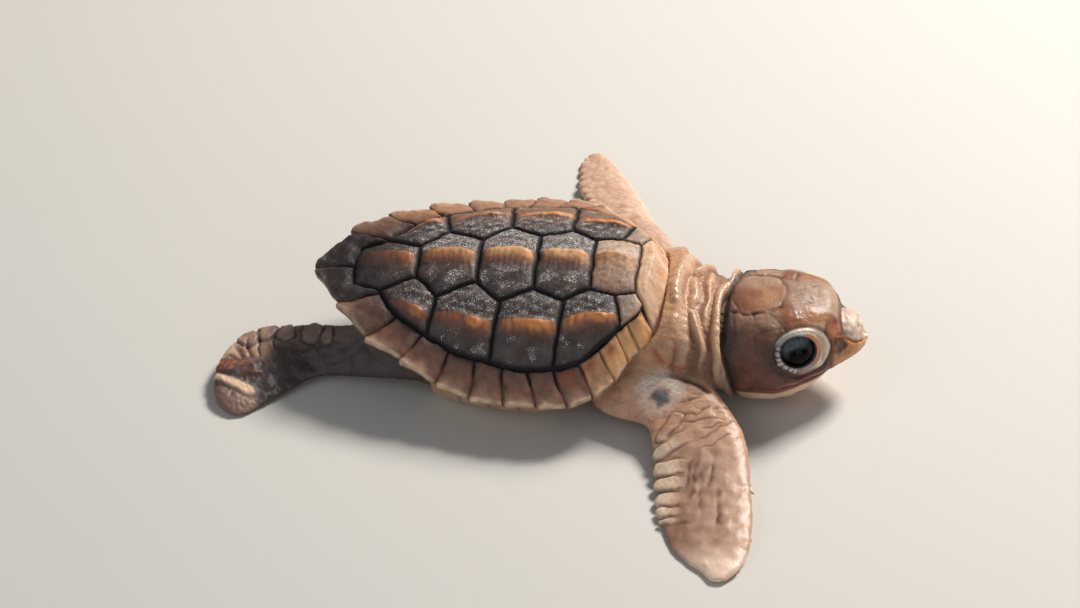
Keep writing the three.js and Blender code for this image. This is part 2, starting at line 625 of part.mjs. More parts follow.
function lidOpening(side) {
  const reach = 4;
  const shape = new THREE.CylinderGeometry(1, 1, reach, 16);
  shape.scale(EYE_OPENING[0], 1, EYE_OPENING[1]);
  shape.translate(0, (side * reach) / 2 + side * 0.5, 0);
  return shape.applyMatrix4(eyeFrame(side));
}

function eyeBall(side, radius) {
  const ball = new THREE.IcosahedronGeometry(radius, 3);
  return ball.translate(EYE_AT[0], EYE_AT[1] * side, EYE_AT[2]);
}

// Everything below the mouth line, as a wedge across the whole head.
function belowMouth(offset) {
  const shape = new THREE.Shape([
    new THREE.Vector2(MOUTH_CORNER[0], MOUTH_CORNER[1] + offset),
    new THREE.Vector2(MOUTH_CORNER[0], -20),
    new THREE.Vector2(MOUTH_FRONT[0] + 5, -20),
    new THREE.Vector2(MOUTH_FRONT[0] + 5, MOUTH_FRONT[1] + offset),
    new THREE.Vector2(MOUTH_FRONT[0], MOUTH_FRONT[1] + offset),
    new THREE.Vector2(MOUTH_BEND[0], MOUTH_BEND[1] + offset),
  ]);
  const block = new THREE.ExtrudeGeometry(shape, { depth: 30, bevelEnabled: false });
  return block.rotateX(Math.PI / 2).translate(0, 15, 0);
}

// The horny beak covers the tip of both jaws.
function beakRegion(offset) {
  const shape = new THREE.Shape([
    new THREE.Vector2(BEAK_REAR[0] - offset, -8),
    new THREE.Vector2(22, -8),
    new THREE.Vector2(22, BEAK_FRONT[1] + offset),
    new THREE.Vector2(BEAK_FRONT[0], BEAK_FRONT[1] + offset),
    new THREE.Vector2(BEAK_REAR[0] - offset, BEAK_REAR[1] + offset),
  ]);
  const block = new THREE.ExtrudeGeometry(shape, { depth: 20, bevelEnabled: false });
  return block.rotateX(Math.PI / 2).translate(0, 10, 0);
}

function headPieces() {
  let whole = toManifold(headSolid(0));
  for (const side of [1, -1]) whole = whole.add(toManifold(lidSolid(side)));
  for (const side of [1, -1]) {
    whole = whole.subtract(toManifold(eyeBall(side, EYE_RADIUS + 0.2)));
    whole = whole.subtract(toManifold(lidOpening(side)));
  }
  const lower = toManifold(belowMouth(-MOUTH_GAP / 2));
  const cutLower = toManifold(belowMouth(MOUTH_GAP / 2));
  const beak = toManifold(beakRegion(-GAP / 2));
  const cutBeak = toManifold(beakRegion(GAP / 2));
  const upper = whole.subtract(cutLower);
  const jaw = whole.intersect(lower);
  return {
    head: upper.subtract(cutBeak),
    beak_upper: upper.intersect(beak),
    jaw: jaw.subtract(cutBeak),
    beak_lower: jaw.intersect(beak),
  };
}

// ---- Neck, tail and flippers --------------------------------------------------------------------
function tubeSolid(stations, sides, grow, power) {
  const rings = stations.map(([x, y, z, width, height]) => Array.from({ length: sides }, (_, j) => {
    const [dy, dz] = superPoint((2 * Math.PI * (j + 0.5)) / sides, width + grow, height + grow,
      height + grow, power);
    return [x, y + dy, z + dz];
  }));
  return ringSolid(rings, stations[0].slice(0, 3), stations[stations.length - 1].slice(0, 3));
}

// A flipper is thick along its leading edge and thin along its trailing edge.
function flipperSolid(stations, grow) {
  const rings = stations.map(([lx, ly, lz, tx, ty, tz, thick]) => {
    const lead = new THREE.Vector3(lx, ly, lz);
    const trail = new THREE.Vector3(tx, ty, tz);
    return Array.from({ length: FLIPPER_SIDES }, (_, j) => {
      const angle = (2 * Math.PI * j) / FLIPPER_SIDES;
      const across = 0.5 + 0.5 * Math.cos(angle);
      const half = thick * (0.55 + 0.45 * across) + grow;
      const point = trail.clone().lerp(lead, across);
      const reach = lead.clone().sub(trail).normalize().multiplyScalar(grow * Math.cos(angle));
      return [point.x + reach.x, point.y + reach.y, point.z + reach.z + half * Math.sin(angle)];
    });
  });
  return ringSolid(rings, middle(rings[0]), middle(rings[rings.length - 1]));
}

// A small cone that leans from the leading edge towards the tip.
function clawSolid(stations, index) {
  const [lx, ly, lz, tx, ty, tz] = stations[index];
  const lead = new THREE.Vector3(lx, ly, lz);
  const across = lead.clone().sub(new THREE.Vector3(tx, ty, tz)).normalize();
  const along = new THREE.Vector3(...stations[index + 1]).sub(lead).normalize();
  const lean = across.clone().multiplyScalar(0.8).add(along).normalize();
  const shape = new THREE.ConeGeometry(CLAW_RADIUS, 2 * CLAW_LENGTH, 6);
  shape.applyQuaternion(new THREE.Quaternion().setFromUnitVectors(new THREE.Vector3(0, 1, 0), lean));
  return shape.translate(...lead.addScaledVector(across, -0.15).toArray());
}

function outward(geometry) {
  const manifold = toManifold(geometry);
  if (manifold.volume() > 0) return geometry;
  const index = Array.from(geometry.getIndex().array);
  for (let i = 0; i < index.length; i += 3) [index[i], index[i + 1]] = [index[i + 1], index[i]];
  geometry.setIndex(index);
  return geometry;
}

// ---- Assembly -----------------------------------------------------------------------------------
const turtle = new THREE.Group();
const shell = new THREE.Group();
const pitch = new THREE.Group();
shell.rotation.x = SHELL_ROLL;
shell.position.z = SHELL_LIFT;
pitch.rotation.y = -SHELL_PITCH;
shell.add(pitch);
turtle.add(shell);
const head = new THREE.Group();
head.position.set(...HEAD_BACK);
head.rotation.z = HEAD_YAW;
turtle.add(head);
turtle.updateMatrixWorld(true);

function add(group, name, geometry, material) {
  const bare = geometry.index ? geometry : mergeVertices(geometry);
  bare.computeVertexNormals();
  const mesh = new THREE.Mesh(bare, material);
  mesh.name = name;
  group.add(mesh);
}

const ground = new THREE.BoxGeometry(200, 200, 20).translate(0, 0, -10);

function aboveGround(manifold) {
  return manifold.subtract(toManifold(ground));
}

function trimmedInShell(geometry) {
  const placed = geometry.clone().applyMatrix4(pitch.matrixWorld);
  const trimmed = toGeometry(aboveGround(toManifold(placed)));
  return trimmed.applyMatrix4(pitch.matrixWorld.clone().invert());
}

const SIDES = [['left', 1], ['right', -1]];

for (let i = 0; i < 5; i += 1) {
  const material = i === 0 ? TAN_SCUTE : DARK_SCUTE;
  const scute = plate(vertebralOutline(i), shellTop, SCUTE_THICK, vertebralKeel);
  add(pitch, `vertebral_${i + 1}`, scute, material);
  for (const [sideName, side] of SIDES) {
    const outline = costalOutline(i).map(([x, y]) => [x, y * side]);
    const knob = COSTAL_KNOBS[i] ? [COSTAL_KNOBS[i][0], COSTAL_KNOBS[i][1] * side] : undefined;
    const relief = i === 0 ? () => 0 : costalKeel;
    const costal = plate(outline, shellTop, SCUTE_THICK, relief, knob);
    add(pitch, `costal_${sideName}_${i + 1}`, costal, i === 0 ? TAN_SCUTE : DARK_SCUTE);
  }
}
add(pitch, 'nuchal', plate(nuchalOutline, shellTop, SCUTE_THICK, () => 0), TAN_SCUTE);
for (const [sideName, side] of SIDES) {
  add(pitch, `marginals_${sideName}`, outward(marginBand(side)), MARGIN_SCUTE);
  add(pitch, `bridge_${sideName}`, outward(trimmedInShell(outward(bridgePlate(side)))), BELLY_SCUTE);
  PLASTRON_NAMES.forEach((name, i) => {
    const plastron = trimmedInShell(outward(plastronPlate(i, side)));
    add(pitch, `${name}_${sideName}`, plastron, BELLY_SCUTE);
  });
}
add(pitch, 'trunk', outward(trunkSolid()), SKIN);

for (const [name, piece] of Object.entries(headPieces())) {
  add(head, name, toGeometry(piece), name.startsWith('beak') ? HORN : HEAD_SKIN);
}
for (const [sideName, side] of SIDES) add(head, `eye_${sideName}`, eyeBall(side, EYE_RADIUS), EYE);

const envelope = toManifold(outward(shellEnvelope(GAP + 0.05)).applyMatrix4(pitch.matrixWorld));
const headSpace = toManifold(outward(headSolid(GAP)).applyMatrix4(head.matrixWorld));
const neckSpace = toManifold(outward(tubeSolid(NECK_STATIONS, NECK_SIDES, GAP, 2.2)));

const neck = toManifold(outward(tubeSolid(NECK_STATIONS, NECK_SIDES, 0, 2.2)));
add(turtle, 'neck', toGeometry(aboveGround(neck.subtract(envelope).subtract(headSpace))), SKIN);
const tail = toManifold(outward(tubeSolid(TAIL_STATIONS, 10, 0, 2)));
add(turtle, 'tail', toGeometry(aboveGround(tail.subtract(envelope))), DARK_SKIN);

const FLIPPERS = [
  ['front_flipper_right', FRONT_RIGHT, LIMB_SKIN, FRONT_CLAW],
  ['front_flipper_left', FRONT_LEFT, LIMB_SKIN, FRONT_CLAW],
  ['rear_flipper_right', REAR_RIGHT, DARK_SKIN, REAR_RIGHT_CLAW],
  ['rear_flipper_left', REAR_LEFT, DARK_SKIN, REAR_LEFT_CLAW],
];
for (const [name, stations, material, clawAt] of FLIPPERS) {
  const flipper = toManifold(outward(flipperSolid(stations, 0)));
  const clawed = flipper.add(toManifold(clawSolid(stations, clawAt)));
  const clear = aboveGround(clawed.subtract(envelope).subtract(neckSpace).subtract(headSpace));
  add(turtle, name, toGeometry(clear), material);
}

// The origin is the middle of the bottom of the whole turtle's bounding box.
turtle.updateMatrixWorld(true);
const extent = new THREE.Box3().setFromObject(turtle, true);
const centre = extent.getCenter(new THREE.Vector3());
turtle.position.set(-centre.x, -centre.y, -extent.min.z);
turtle.updateMatrixWorld(true);

export default turtle;
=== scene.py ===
import json
import math

import bmesh
import bpy
import numpy as np
from mathutils import Matrix, Vector
from mathutils.kdtree import KDTree

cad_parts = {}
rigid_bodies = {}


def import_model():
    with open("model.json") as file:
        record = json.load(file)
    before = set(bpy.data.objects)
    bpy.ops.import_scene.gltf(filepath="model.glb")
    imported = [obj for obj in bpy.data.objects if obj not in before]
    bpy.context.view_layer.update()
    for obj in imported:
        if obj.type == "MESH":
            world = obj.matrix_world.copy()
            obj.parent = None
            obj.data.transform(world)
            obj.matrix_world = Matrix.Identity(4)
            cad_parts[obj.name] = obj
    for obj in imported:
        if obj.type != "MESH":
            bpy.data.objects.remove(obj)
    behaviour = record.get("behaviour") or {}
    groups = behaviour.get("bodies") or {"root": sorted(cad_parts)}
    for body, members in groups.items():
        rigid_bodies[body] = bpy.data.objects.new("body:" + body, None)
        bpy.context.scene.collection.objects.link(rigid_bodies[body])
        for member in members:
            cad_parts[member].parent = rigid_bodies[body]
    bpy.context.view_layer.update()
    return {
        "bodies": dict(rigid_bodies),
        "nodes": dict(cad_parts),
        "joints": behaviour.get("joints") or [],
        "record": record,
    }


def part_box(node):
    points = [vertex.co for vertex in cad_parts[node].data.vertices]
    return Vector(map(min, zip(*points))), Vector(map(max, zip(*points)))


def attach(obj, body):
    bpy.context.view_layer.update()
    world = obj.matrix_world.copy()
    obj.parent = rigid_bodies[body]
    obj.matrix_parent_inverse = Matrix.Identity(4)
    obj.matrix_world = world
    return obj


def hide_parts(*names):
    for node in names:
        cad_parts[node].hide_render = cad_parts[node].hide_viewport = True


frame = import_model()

# Lengths below are millimetres in the part's own drawing frame until a mesh is finished.
MM = 0.001
SIDES = (("left", 1), ("right", -1))

# ---- Places of the shell and the head -----------------------------------------------------------
SHELL_ROLL = math.radians(10.2)
SHELL_PITCH = math.radians(1.8)
SHELL_LIFT = np.array([0.0, 0.0, 0.24])
HEAD_BACK = np.array([29.6, -3.0, 7.45])
HEAD_YAW = math.radians(5)
EYE_AT = np.array([8.35, 4.9, 2.1])
EYE_RADIUS = 3.2
LID_RADIUS, LID_SIZE = 3.72, (4.5, 3.7, 4.0)
EYE_TILT = math.radians(14)
EYE_FORWARD = math.radians(12)


def turned(axis, angle):
    return np.array(Matrix.Rotation(angle, 3, axis))


SHELL_TURN = turned("X", SHELL_ROLL) @ turned("Y", -SHELL_PITCH)
HEAD_TURN = turned("Z", HEAD_YAW)


def from_shell(points):
    return points @ SHELL_TURN.T + SHELL_LIFT


def from_head(points):
    return points @ HEAD_TURN.T + HEAD_BACK


def to_shell(points):
    return (points - SHELL_LIFT) @ SHELL_TURN


def to_head(points):
    return (points - HEAD_BACK) @ HEAD_TURN


eye_low, eye_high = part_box("eye_left")
SHIFT = np.array((eye_low + eye_high) / 2) / MM - from_head(EYE_AT)

# ---- Numbers that vary smoothly -----------------------------------------------------------------


def smooth(low, high, value):
    """0 up to low, 1 from high on, smooth between; low may be the larger of the two."""
    t = np.clip((value - low) / (high - low), 0, 1)
    return t * t * (3 - 2 * t)


def bump(value, centre, width):
    """1 at the centre, falling to almost 0 two widths away."""
    return np.exp(-(((value - centre) / width) ** 2))


WAVES = 14


def drift(points, wavelength, seed):
    """Smooth noise between about -1 and 1: sine waves in many directions."""
    rng = np.random.default_rng(seed)
    ways = rng.normal(size=(WAVES, points.shape[1]))
    ways *= (2 * np.pi / wavelength) * rng.uniform(0.6, 1.5, (WAVES, 1)) / np.linalg.norm(ways, axis=1, keepdims=True)
    return np.sin(points @ ways.T + rng.uniform(0, 2 * np.pi, WAVES)).sum(1) / math.sqrt(WAVES)


def drifts(points, wavelength, *seeds):
    """Smooth noise in as many directions as there are seeds."""
    return np.stack([drift(points, wavelength, seed) for seed in seeds], 1)


def heading(x, y):
    """Direction and distance of flat places from the middle."""
    return np.arctan2(y, x), np.hypot(x, y)


def flat_place(angle, reach):
    return reach * np.cos(angle), reach * np.sin(angle)


def stacked(*values):
    return np.stack(values, 1)


def curve_between(a, b, c, d, t):
    """A smooth curve from b to c, where a and d are the places before and behind them."""
    return 0.5 * (2 * b + (c - a) * t + (2 * a - 5 * b + 4 * c - d) * t**2 + (3 * b - a - 3 * c + d) * t**3)


def closed_curve(points, steps):
    b = np.array(points, float)
    t = (np.arange(steps) / steps)[:, None, None]
    curve = curve_between(np.roll(b, 1, 0), b, np.roll(b, -1, 0), np.roll(b, -2, 0), t)
    return curve.transpose(1, 0, 2).reshape(-1, 3)


# ---- Colours ------------------------------------------------------------------------------------


def tone(code):
    """A linear colour from a hexadecimal one."""
    value = np.array([int(code[i : i + 2], 16) / 255 for i in (0, 2, 4)])
    return np.where(value <= 0.04045, value / 12.92, ((value + 0.055) / 1.055) ** 2.4)


def blend(colours, colour, amount):
    share = np.clip(np.broadcast_to(amount, len(colours)), 0, 1)
    return colours + (colour - colours) * share[:, None]


def plain(code, count):
    """The same tone count times."""
    return np.tile(tone(code), (count, 1))


def layered(colours, *layers):
    """Tones laid over colours one after another, each as thickly as its own share says."""
    for code, share in layers:
        colours = blend(colours, tone(code) if isinstance(code, str) else code, share)
    return colours


DARK_HORN = "352b28"
SEAM_BLACK = "0d0d12"

# ---- The shell's shape --------------------------------------------------------------------------
CROWN_HEIGHT, CROWN_SLOPE, CROWN_BEND, CROWN_ARCH = 16.75, 0.086, 0.0045, 0.0285
SCUTE_THICK, MARGIN_THICK, PLASTRON_THICK = 0.9, 1.1, 0.8
RIM_FRONT, RIM_TAIL = [21.9, 0, 13.8], [-23.5, 0, 12.6]
# Where the seams between the marginal scutes reach the shell's edge on the left side.
RIM_SEAMS = [
    [21.2, 6.8, 11.0], [19.4, 8.8, 10.8], [17.9, 10.4, 10.4], [16.5, 13.0, 9.4], [14.0, 15.4, 8.8],
    [10.8, 17.3, 8.8], [6.8, 17.85, 8.8], [2.6, 17.7, 8.85], [-1.9, 16.95, 8.8], [-6.3, 15.55, 9.5],
    [-11.1, 13.1, 11.0], [-15.9, 10.45, 11.8], [-20.05, 6.2, 13.2],
]
# Corners of the scutes: v for vertebral, c for costal, m for marginal, n for nuchal; x and y of the left side.
CORNER = {
    "v1n": (18.25, 4.0), "v1c": (15.85, 4.75), "v12": (12.45, 4.1), "v2c": (9.1, 6.0), "v23": (5.15, 4.5),
    "v3c": (0.95, 6.3), "v34": (-2.45, 3.7), "v4c": (-7.25, 5.5), "v45": (-10.4, 2.6), "v5m": (-15.05, 4.3),
    "v5r": (-18.4, 3.0), "cnm": (19.4, 5.4), "c12m": (16.95, 8.85), "c23m": (8.65, 13.8),
    "c34m": (0.3, 13.3), "c45m": (-8.15, 10.35),
}
V5_REAR = (-18.8, 0.0)
RIM_STEPS = 40


def mirrored(points):
    return [(p[0], -p[1], *p[2:]) for p in points]


rim_loop = [RIM_FRONT, *RIM_SEAMS, RIM_TAIL, *mirrored(RIM_SEAMS)[::-1]]
rim_curve = closed_curve(rim_loop, RIM_STEPS)
rim_angles, rim_reaches = heading(*rim_curve[:, :2].T)


def rim_reach(angle):
    return np.interp(angle, rim_angles, rim_reaches, period=2 * np.pi)


def rim_height(angle):
    return np.interp(angle, rim_angles, rim_curve[:, 2], period=2 * np.pi)


inner_half = [CORNER[name] for name in ("cnm", "c12m", "c23m", "c34m", "c45m", "v5m", "v5r")]
inner_points = np.array([*inner_half, V5_REAR, *mirrored(inner_half)])
inner_angles, inner_reaches = heading(*inner_points.T)
inner_shares = inner_reaches / rim_reach(inner_angles)


def inner_share(angle):
    """Where the marginal scutes begin, as a share of the way from the middle to the edge."""
    return np.interp(angle, inner_angles, inner_shares, period=2 * np.pi)


def crown(x, y):
    return CROWN_HEIGHT + CROWN_SLOPE * x - CROWN_BEND * x * x - CROWN_ARCH * y * y


def shell_top(x, y):
    """Height of the shell: a crown that bends down to the edge across the marginal scutes."""
    angle, reach = heading(x, y)
    share, inner = reach / rim_reach(angle), inner_share(angle)
    scale = np.where(share > inner, inner * rim_reach(angle) / np.maximum(reach, 1e-6), 1)
    start = crown(x * scale, y * scale)
    along = np.clip((share - inner) / (1 - inner), 0, 1)
    rim = rim_height(angle)
    return np.where(share > inner, rim + (start - rim) * (1 - along) ** 1.25, start)


def wandering(points):
    """Nothing on the shell is quite straight: its points wander a little sideways."""
    moved = points.copy()
    flat = points[:, :2]
    for axis in (0, 1):
        moved[:, axis] += 0.11 * drift(flat, 4.5, 11 + axis) + 0.035 * drift(flat, 1.3, 21 + axis)
    return moved


# ---- Meshes -------------------------------------------------------------------------------------


def positions(bm):
    return np.array([v.co for v in bm.verts])


def set_positions(bm, points):
    for vertex, point in zip(bm.verts, points):
        vertex.co = point


def grid(across, along):
    """A square grid from 0 to 1 on both sides."""
    bm = bmesh.new()
    bmesh.ops.create_grid(bm, x_segments=across, y_segments=along, size=0.5)
    points = positions(bm)
    set_positions(bm, points - points.min(0))
    return bm


def seal(bm):
    """Fills the holes and turns every face outwards."""
    bmesh.ops.holes_fill(bm, edges=[e for e in bm.edges if e.is_boundary])
    bmesh.ops.recalc_face_normals(bm, faces=bm.faces)


def close(bm):
    """Welds the seam and seals the open ends."""
    bmesh.ops.remove_doubles(bm, verts=bm.verts, dist=1e-4)
    seal(bm)


def paint(bm, tint, **values):
    """Stores a colour and named numbers on a mesh's corners."""
    colour_layer = bm.verts.layers.float_color.new("tint")
    count = len(bm.verts)
    layers = [(bm.verts.layers.float.new(name), np.broadcast_to(value, count)) for name, value in values.items()]
    for i, vertex in enumerate(bm.verts):
        vertex[colour_layer] = (*tint[i], 1)
        for layer, value in layers:
            vertex[layer] = value[i]


def corner_normals(bm):
    bm.normal_update()
    return np.array([v.normal for v in bm.verts])


def joined(parts):
    whole = bmesh.new()
    for part in parts:
        mesh = bpy.data.meshes.new("part")
        part.to_mesh(mesh)
        part.free()
        whole.from_mesh(mesh)
        bpy.data.meshes.remove(mesh)
    return whole


def in_scene(name, data):
    item = bpy.data.objects.new(name, data)
    bpy.context.scene.collection.objects.link(item)
    return item


def finished(name, bm, material, replaced=()):
    """Turns a mesh in drawing millimetres into a smooth piece of the turtle."""
    points = (positions(bm) + SHIFT) * MM
    points[:, 2] = np.maximum(points[:, 2], 0)
    set_positions(bm, points)
    mesh = bpy.data.meshes.new(name)
    bm.to_mesh(mesh)
    bm.free()
    mesh.shade_smooth()
    mesh.materials.append(material)
    piece = in_scene(name.replace(" ", "_"), mesh)
    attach(piece, "root")
    if replaced:
        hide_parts(*replaced)


def counter_clockwise(outline):
    outline = np.array(outline, float)
    x, y = outline.T
    area = (x * np.roll(y, -1) - np.roll(x, -1) * y).sum()
    return outline if area > 0 else outline[::-1]


def cut_away(bm, place, way, tolerance):
    """Takes away what lies beyond a plane."""
    parts = [*bm.verts, *bm.edges, *bm.faces]
    bmesh.ops.bisect_plane(bm, geom=parts, plane_co=place, plane_no=way, clear_outer=True, dist=tolerance)


def cut_sheet(outline, step):
    """A fine flat sheet cut to a convex outline, and each corner's distance to the sides."""
    low, high = outline.min(0), outline.max(0)
    size = high - low
    bm = grid(*(max(4, int(s / step)) for s in size))
    set_positions(bm, positions(bm) * [*size, 1] + [*low, 0])
    sides = list(zip(outline, np.roll(outline, -1, 0)))
    ways = []
    for a, b in sides:
        along = (b - a) / np.linalg.norm(b - a)
        way = np.array([along[1], -along[0]])
        ways.append(way)
        cut_away(bm, (*a, 0), (*way, 0), 1e-6)
    bmesh.ops.remove_doubles(bm, verts=bm.verts, dist=0.02)
    flat = positions(bm)[:, :2]
    distance = np.stack([-(flat - a) @ way for (a, _), way in zip(sides, ways)], 1)
    return bm, flat, np.maximum(distance, 0)


# ---- Finishes -----------------------------------------------------------------------------------


class Value:
    """A socket that takes part in sums: an expression on values adds its Math nodes."""

    def __init__(self, shader, socket):
        self.shader, self.socket = shader, socket

    def maths(self, operation, *others):
        node = self.shader.node("ShaderNodeMath", {"operation": operation})
        for place, item in enumerate(others):
            self.shader.connect(node.inputs[place], item)
        return Value(self.shader, node.outputs[0])

    def __add__(self, other):
        return self.maths("ADD", self, other)

    def __radd__(self, other):
        return self.maths("ADD", other, self)

    def __rsub__(self, other):
        return self.maths("SUBTRACT", other, self)

    def __mul__(self, other):
        return self.maths("MULTIPLY", self, other)

    def __rmul__(self, other):
        return self.maths("MULTIPLY", other, self)

    def between(self, low, high):
        """0 below low, 1 above high, smooth between."""
        node = self.shader.node(
            "ShaderNodeMapRange", {"interpolation_type": "SMOOTHSTEP"}, {0: self, 1: low, 2: high}
        )
        return Value(self.shader, node.outputs[0])


class Shader:
    """One procedural finish on a Principled surface."""

    def __init__(self, name):
        self.material = bpy.data.materials.new(name)
        self.material.use_nodes = True
        self.tree = self.material.node_tree
        self.surface = next(n for n in self.tree.nodes if n.type == "BSDF_PRINCIPLED")
        self.place = self.node("ShaderNodeTexCoord").outputs["Object"]

    def node(self, kind, settings=None, inputs=None):
        node = self.tree.nodes.new(kind)
        for key, value in (settings or {}).items():
            setattr(node, key, value)
        for key, value in (inputs or {}).items():
            self.connect(node.inputs[key], value)
        return node

    def connect(self, socket, value):
        if isinstance(value, Value):
            value = value.socket
        if isinstance(value, bpy.types.NodeSocket):
            self.tree.links.new(value, socket)
        else:
            socket.default_value = value

    def attribute(self, name):
        return self.node("ShaderNodeAttribute", {"attribute_name": name}).outputs

    def number(self, name):
        return Value(self, self.attribute(name)["Fac"])

    def noise(self, size, detail=3.0, roughness=0.6):
        """Noise from 0 to 1 whose blots are about size metres wide."""
        inputs = {"Vector": self.place, "Scale": 1 / size, "Detail": detail, "Roughness": roughness}
        return Value(self, self.node("ShaderNodeTexNoise", None, inputs).outputs["Fac"])

    def cell_border(self, size):
        """Distance to the borders of cells about size metres wide."""
        inputs = {"Vector": self.place, "Scale": 1 / size, "Randomness": 0.9}
        node = self.node("ShaderNodeTexVoronoi", {"feature": "DISTANCE_TO_EDGE"}, inputs)
        return Value(self, node.outputs["Distance"])

    def mix(self, share, first, second):
        node = self.node("ShaderNodeMix", {"data_type": "RGBA"})
        self.connect(node.inputs["Factor"], share)
        colours = [s for s in node.inputs if s.type == "RGBA"]
        for socket, colour in zip(colours, (first, second)):
            self.connect(socket, (*colour, 1) if isinstance(colour, (tuple, list, np.ndarray)) else colour)
        return next(s for s in node.outputs if s.type == "RGBA")

    def varied(self, colour, amount, size):
        """The colour, lighter and darker in blots."""
        shade = self.noise(size)
        node = self.node("ShaderNodeHueSaturation", None, {"Color": colour, "Value": 1 - amount + shade * 2 * amount})
        return node.outputs["Color"]

    def relief(self, height, distance):
        return self.node("ShaderNodeBump", None, {"Height": height, "Distance": distance}).outputs["Normal"]

    def finish(self, colour, roughness, normal=None, **constants):
        self.connect(self.surface.inputs["Base Color"], colour)
        self.connect(self.surface.inputs["Roughness"], roughness)
        if normal is not None:
            self.connect(self.surface.inputs["Normal"], normal)
        for key, value in constants.items():
            self.surface.inputs[key.replace("_", " ")].default_value = value
        return self.material


def horn_finish(name, gloss, sheen):
    shader = Shader(name)
    tint, speckle, dull = shader.attribute("tint")["Color"], shader.number("speckle"), shader.number("dull")
    granules = shader.noise(0.00014, 1.5, 0.5) + 0.17 * speckle + 0.05 * shader.noise(0.0011)
    specks = granules.between(0.72, 0.78) * speckle.between(0.02, 0.3)
    colour = shader.varied(tint, 0.26, 0.0006)
    colour = shader.mix(speckle.between(0.3, 1.3) * 0.33, colour, tone("958b86"))
    colour = shader.mix(specks * 0.85, colour, tone("dcd7d3"))
    height = shader.noise(0.0005, 4.0) + 0.8 * specks
    roughness = gloss + 0.2 * shader.noise(0.0009) + 0.2 * speckle + 0.4 * dull
    normal = shader.relief(height, 0.00007)
    return shader.finish(colour, roughness, normal, Coat_Weight=sheen, Coat_Roughness=0.25)


def skin_finish(name):
    shader = Shader(name)
    tint, wet, grain = shader.attribute("tint")["Color"], shader.number("wet"), shader.number("grain")
    cells = shader.cell_border(0.00055).between(0.0, 0.25)
    colour = shader.varied(tint, 0.16, 0.0008)
    colour = shader.mix((1 - cells) * grain * 0.35, colour, tone("5a3b2c"))
    fine = shader.noise(0.0002, 3.0)
    height = cells * grain + 0.18 * fine + 0.8 * shader.noise(0.0009)
    roughness = 0.52 - 0.34 * wet + 0.1 * fine
    normal = shader.relief(height, 0.00006)
    shader.surface.inputs["Subsurface Radius"].default_value = (1.0, 0.35, 0.2)
    return shader.finish(colour, roughness, normal, Subsurface_Weight=0.12, Subsurface_Scale=0.0008)


HORN = horn_finish("scute horn", 0.42, 0.05)
BEAK = horn_finish("beak horn", 0.26, 0.2)
SKIN = skin_finish("turtle skin")

# ---- Scutes of the back -------------------------------------------------------------------------
SHEET_STEP = 0.17
# Scutes whose middle lies before this x are paler and have softer seams.
PALE_X = 12.5
# Half the width of the seams: round the nuchal scute, round the front row, and round the others.
NUCHAL_SEAM, FRONT_SEAM, SCUTE_SEAM = 0.15, 0.16, 0.27


def inner_edge(a, b, count):
    """Points on the inner edge of the marginal scutes from one corner to the next."""
    start, end = math.atan2(a[1], a[0]), math.atan2(b[1], b[0])
    sweep = (end - start + math.pi) % (2 * math.pi) - math.pi
    angle = start + sweep * np.arange(count) / count
    return stacked(*flat_place(angle, rim_reach(angle) * inner_share(angle)))


def corners(names):
    return [CORNER[name] for name in names.split()]


VERTEBRAL_CORNERS = ("v1n v1c v12", "v12 v2c v23", "v23 v3c v34", "v34 v4c v45", "v45 v5m")
COSTAL_CORNERS = ("v1n v1c", "v1c v12 v2c", "v2c v23 v3c", "v3c v34 v4c", "v4c v45")
COSTAL_EDGES = ("c12m cnm", "c23m c12m", "c34m c23m", "c45m c34m", "v5m c45m")
LAST_VERTEBRAL_END = [(-18.65, 3.1), (-19.15, 0)]


def vertebral_outline(index):
    left = corners(VERTEBRAL_CORNERS[index]) + (LAST_VERTEBRAL_END if index == 4 else [])
    right = [p for p in mirrored(left)[::-1] if p[1] != 0]
    return [*left, *right]


def costal_outline(index):
    outer = corners(COSTAL_EDGES[index])
    return [*corners(COSTAL_CORNERS[index]), *inner_edge(*outer, 8), outer[1]]


def skirted(bm, depth):
    """Gives a sheet a wall all round and a floor, so that it is a closed plate."""
    border = [e for e in bm.edges if e.is_boundary]
    made = bmesh.ops.extrude_edge_only(bm, edges=border)["geom"]
    low = [g for g in made if isinstance(g, bmesh.types.BMVert)]
    bmesh.ops.translate(bm, verts=low, vec=(0, 0, depth))
    seal(bm)


def keel_side(x):
    return 9.2 - 0.012 * (x - 3) ** 2


def keel_distance(kind, x, y, part):
    """Sideways distance from the sharp edge of a scute's keel, positive on its gentle side."""
    if kind == "costal":
        return np.abs(y) - keel_side(x) - 0.45 * smooth(0.3, 0.9, part) + 0.2
    return 0.95 - 0.5 * ((part - 0.4) / 0.6) ** 2 - y


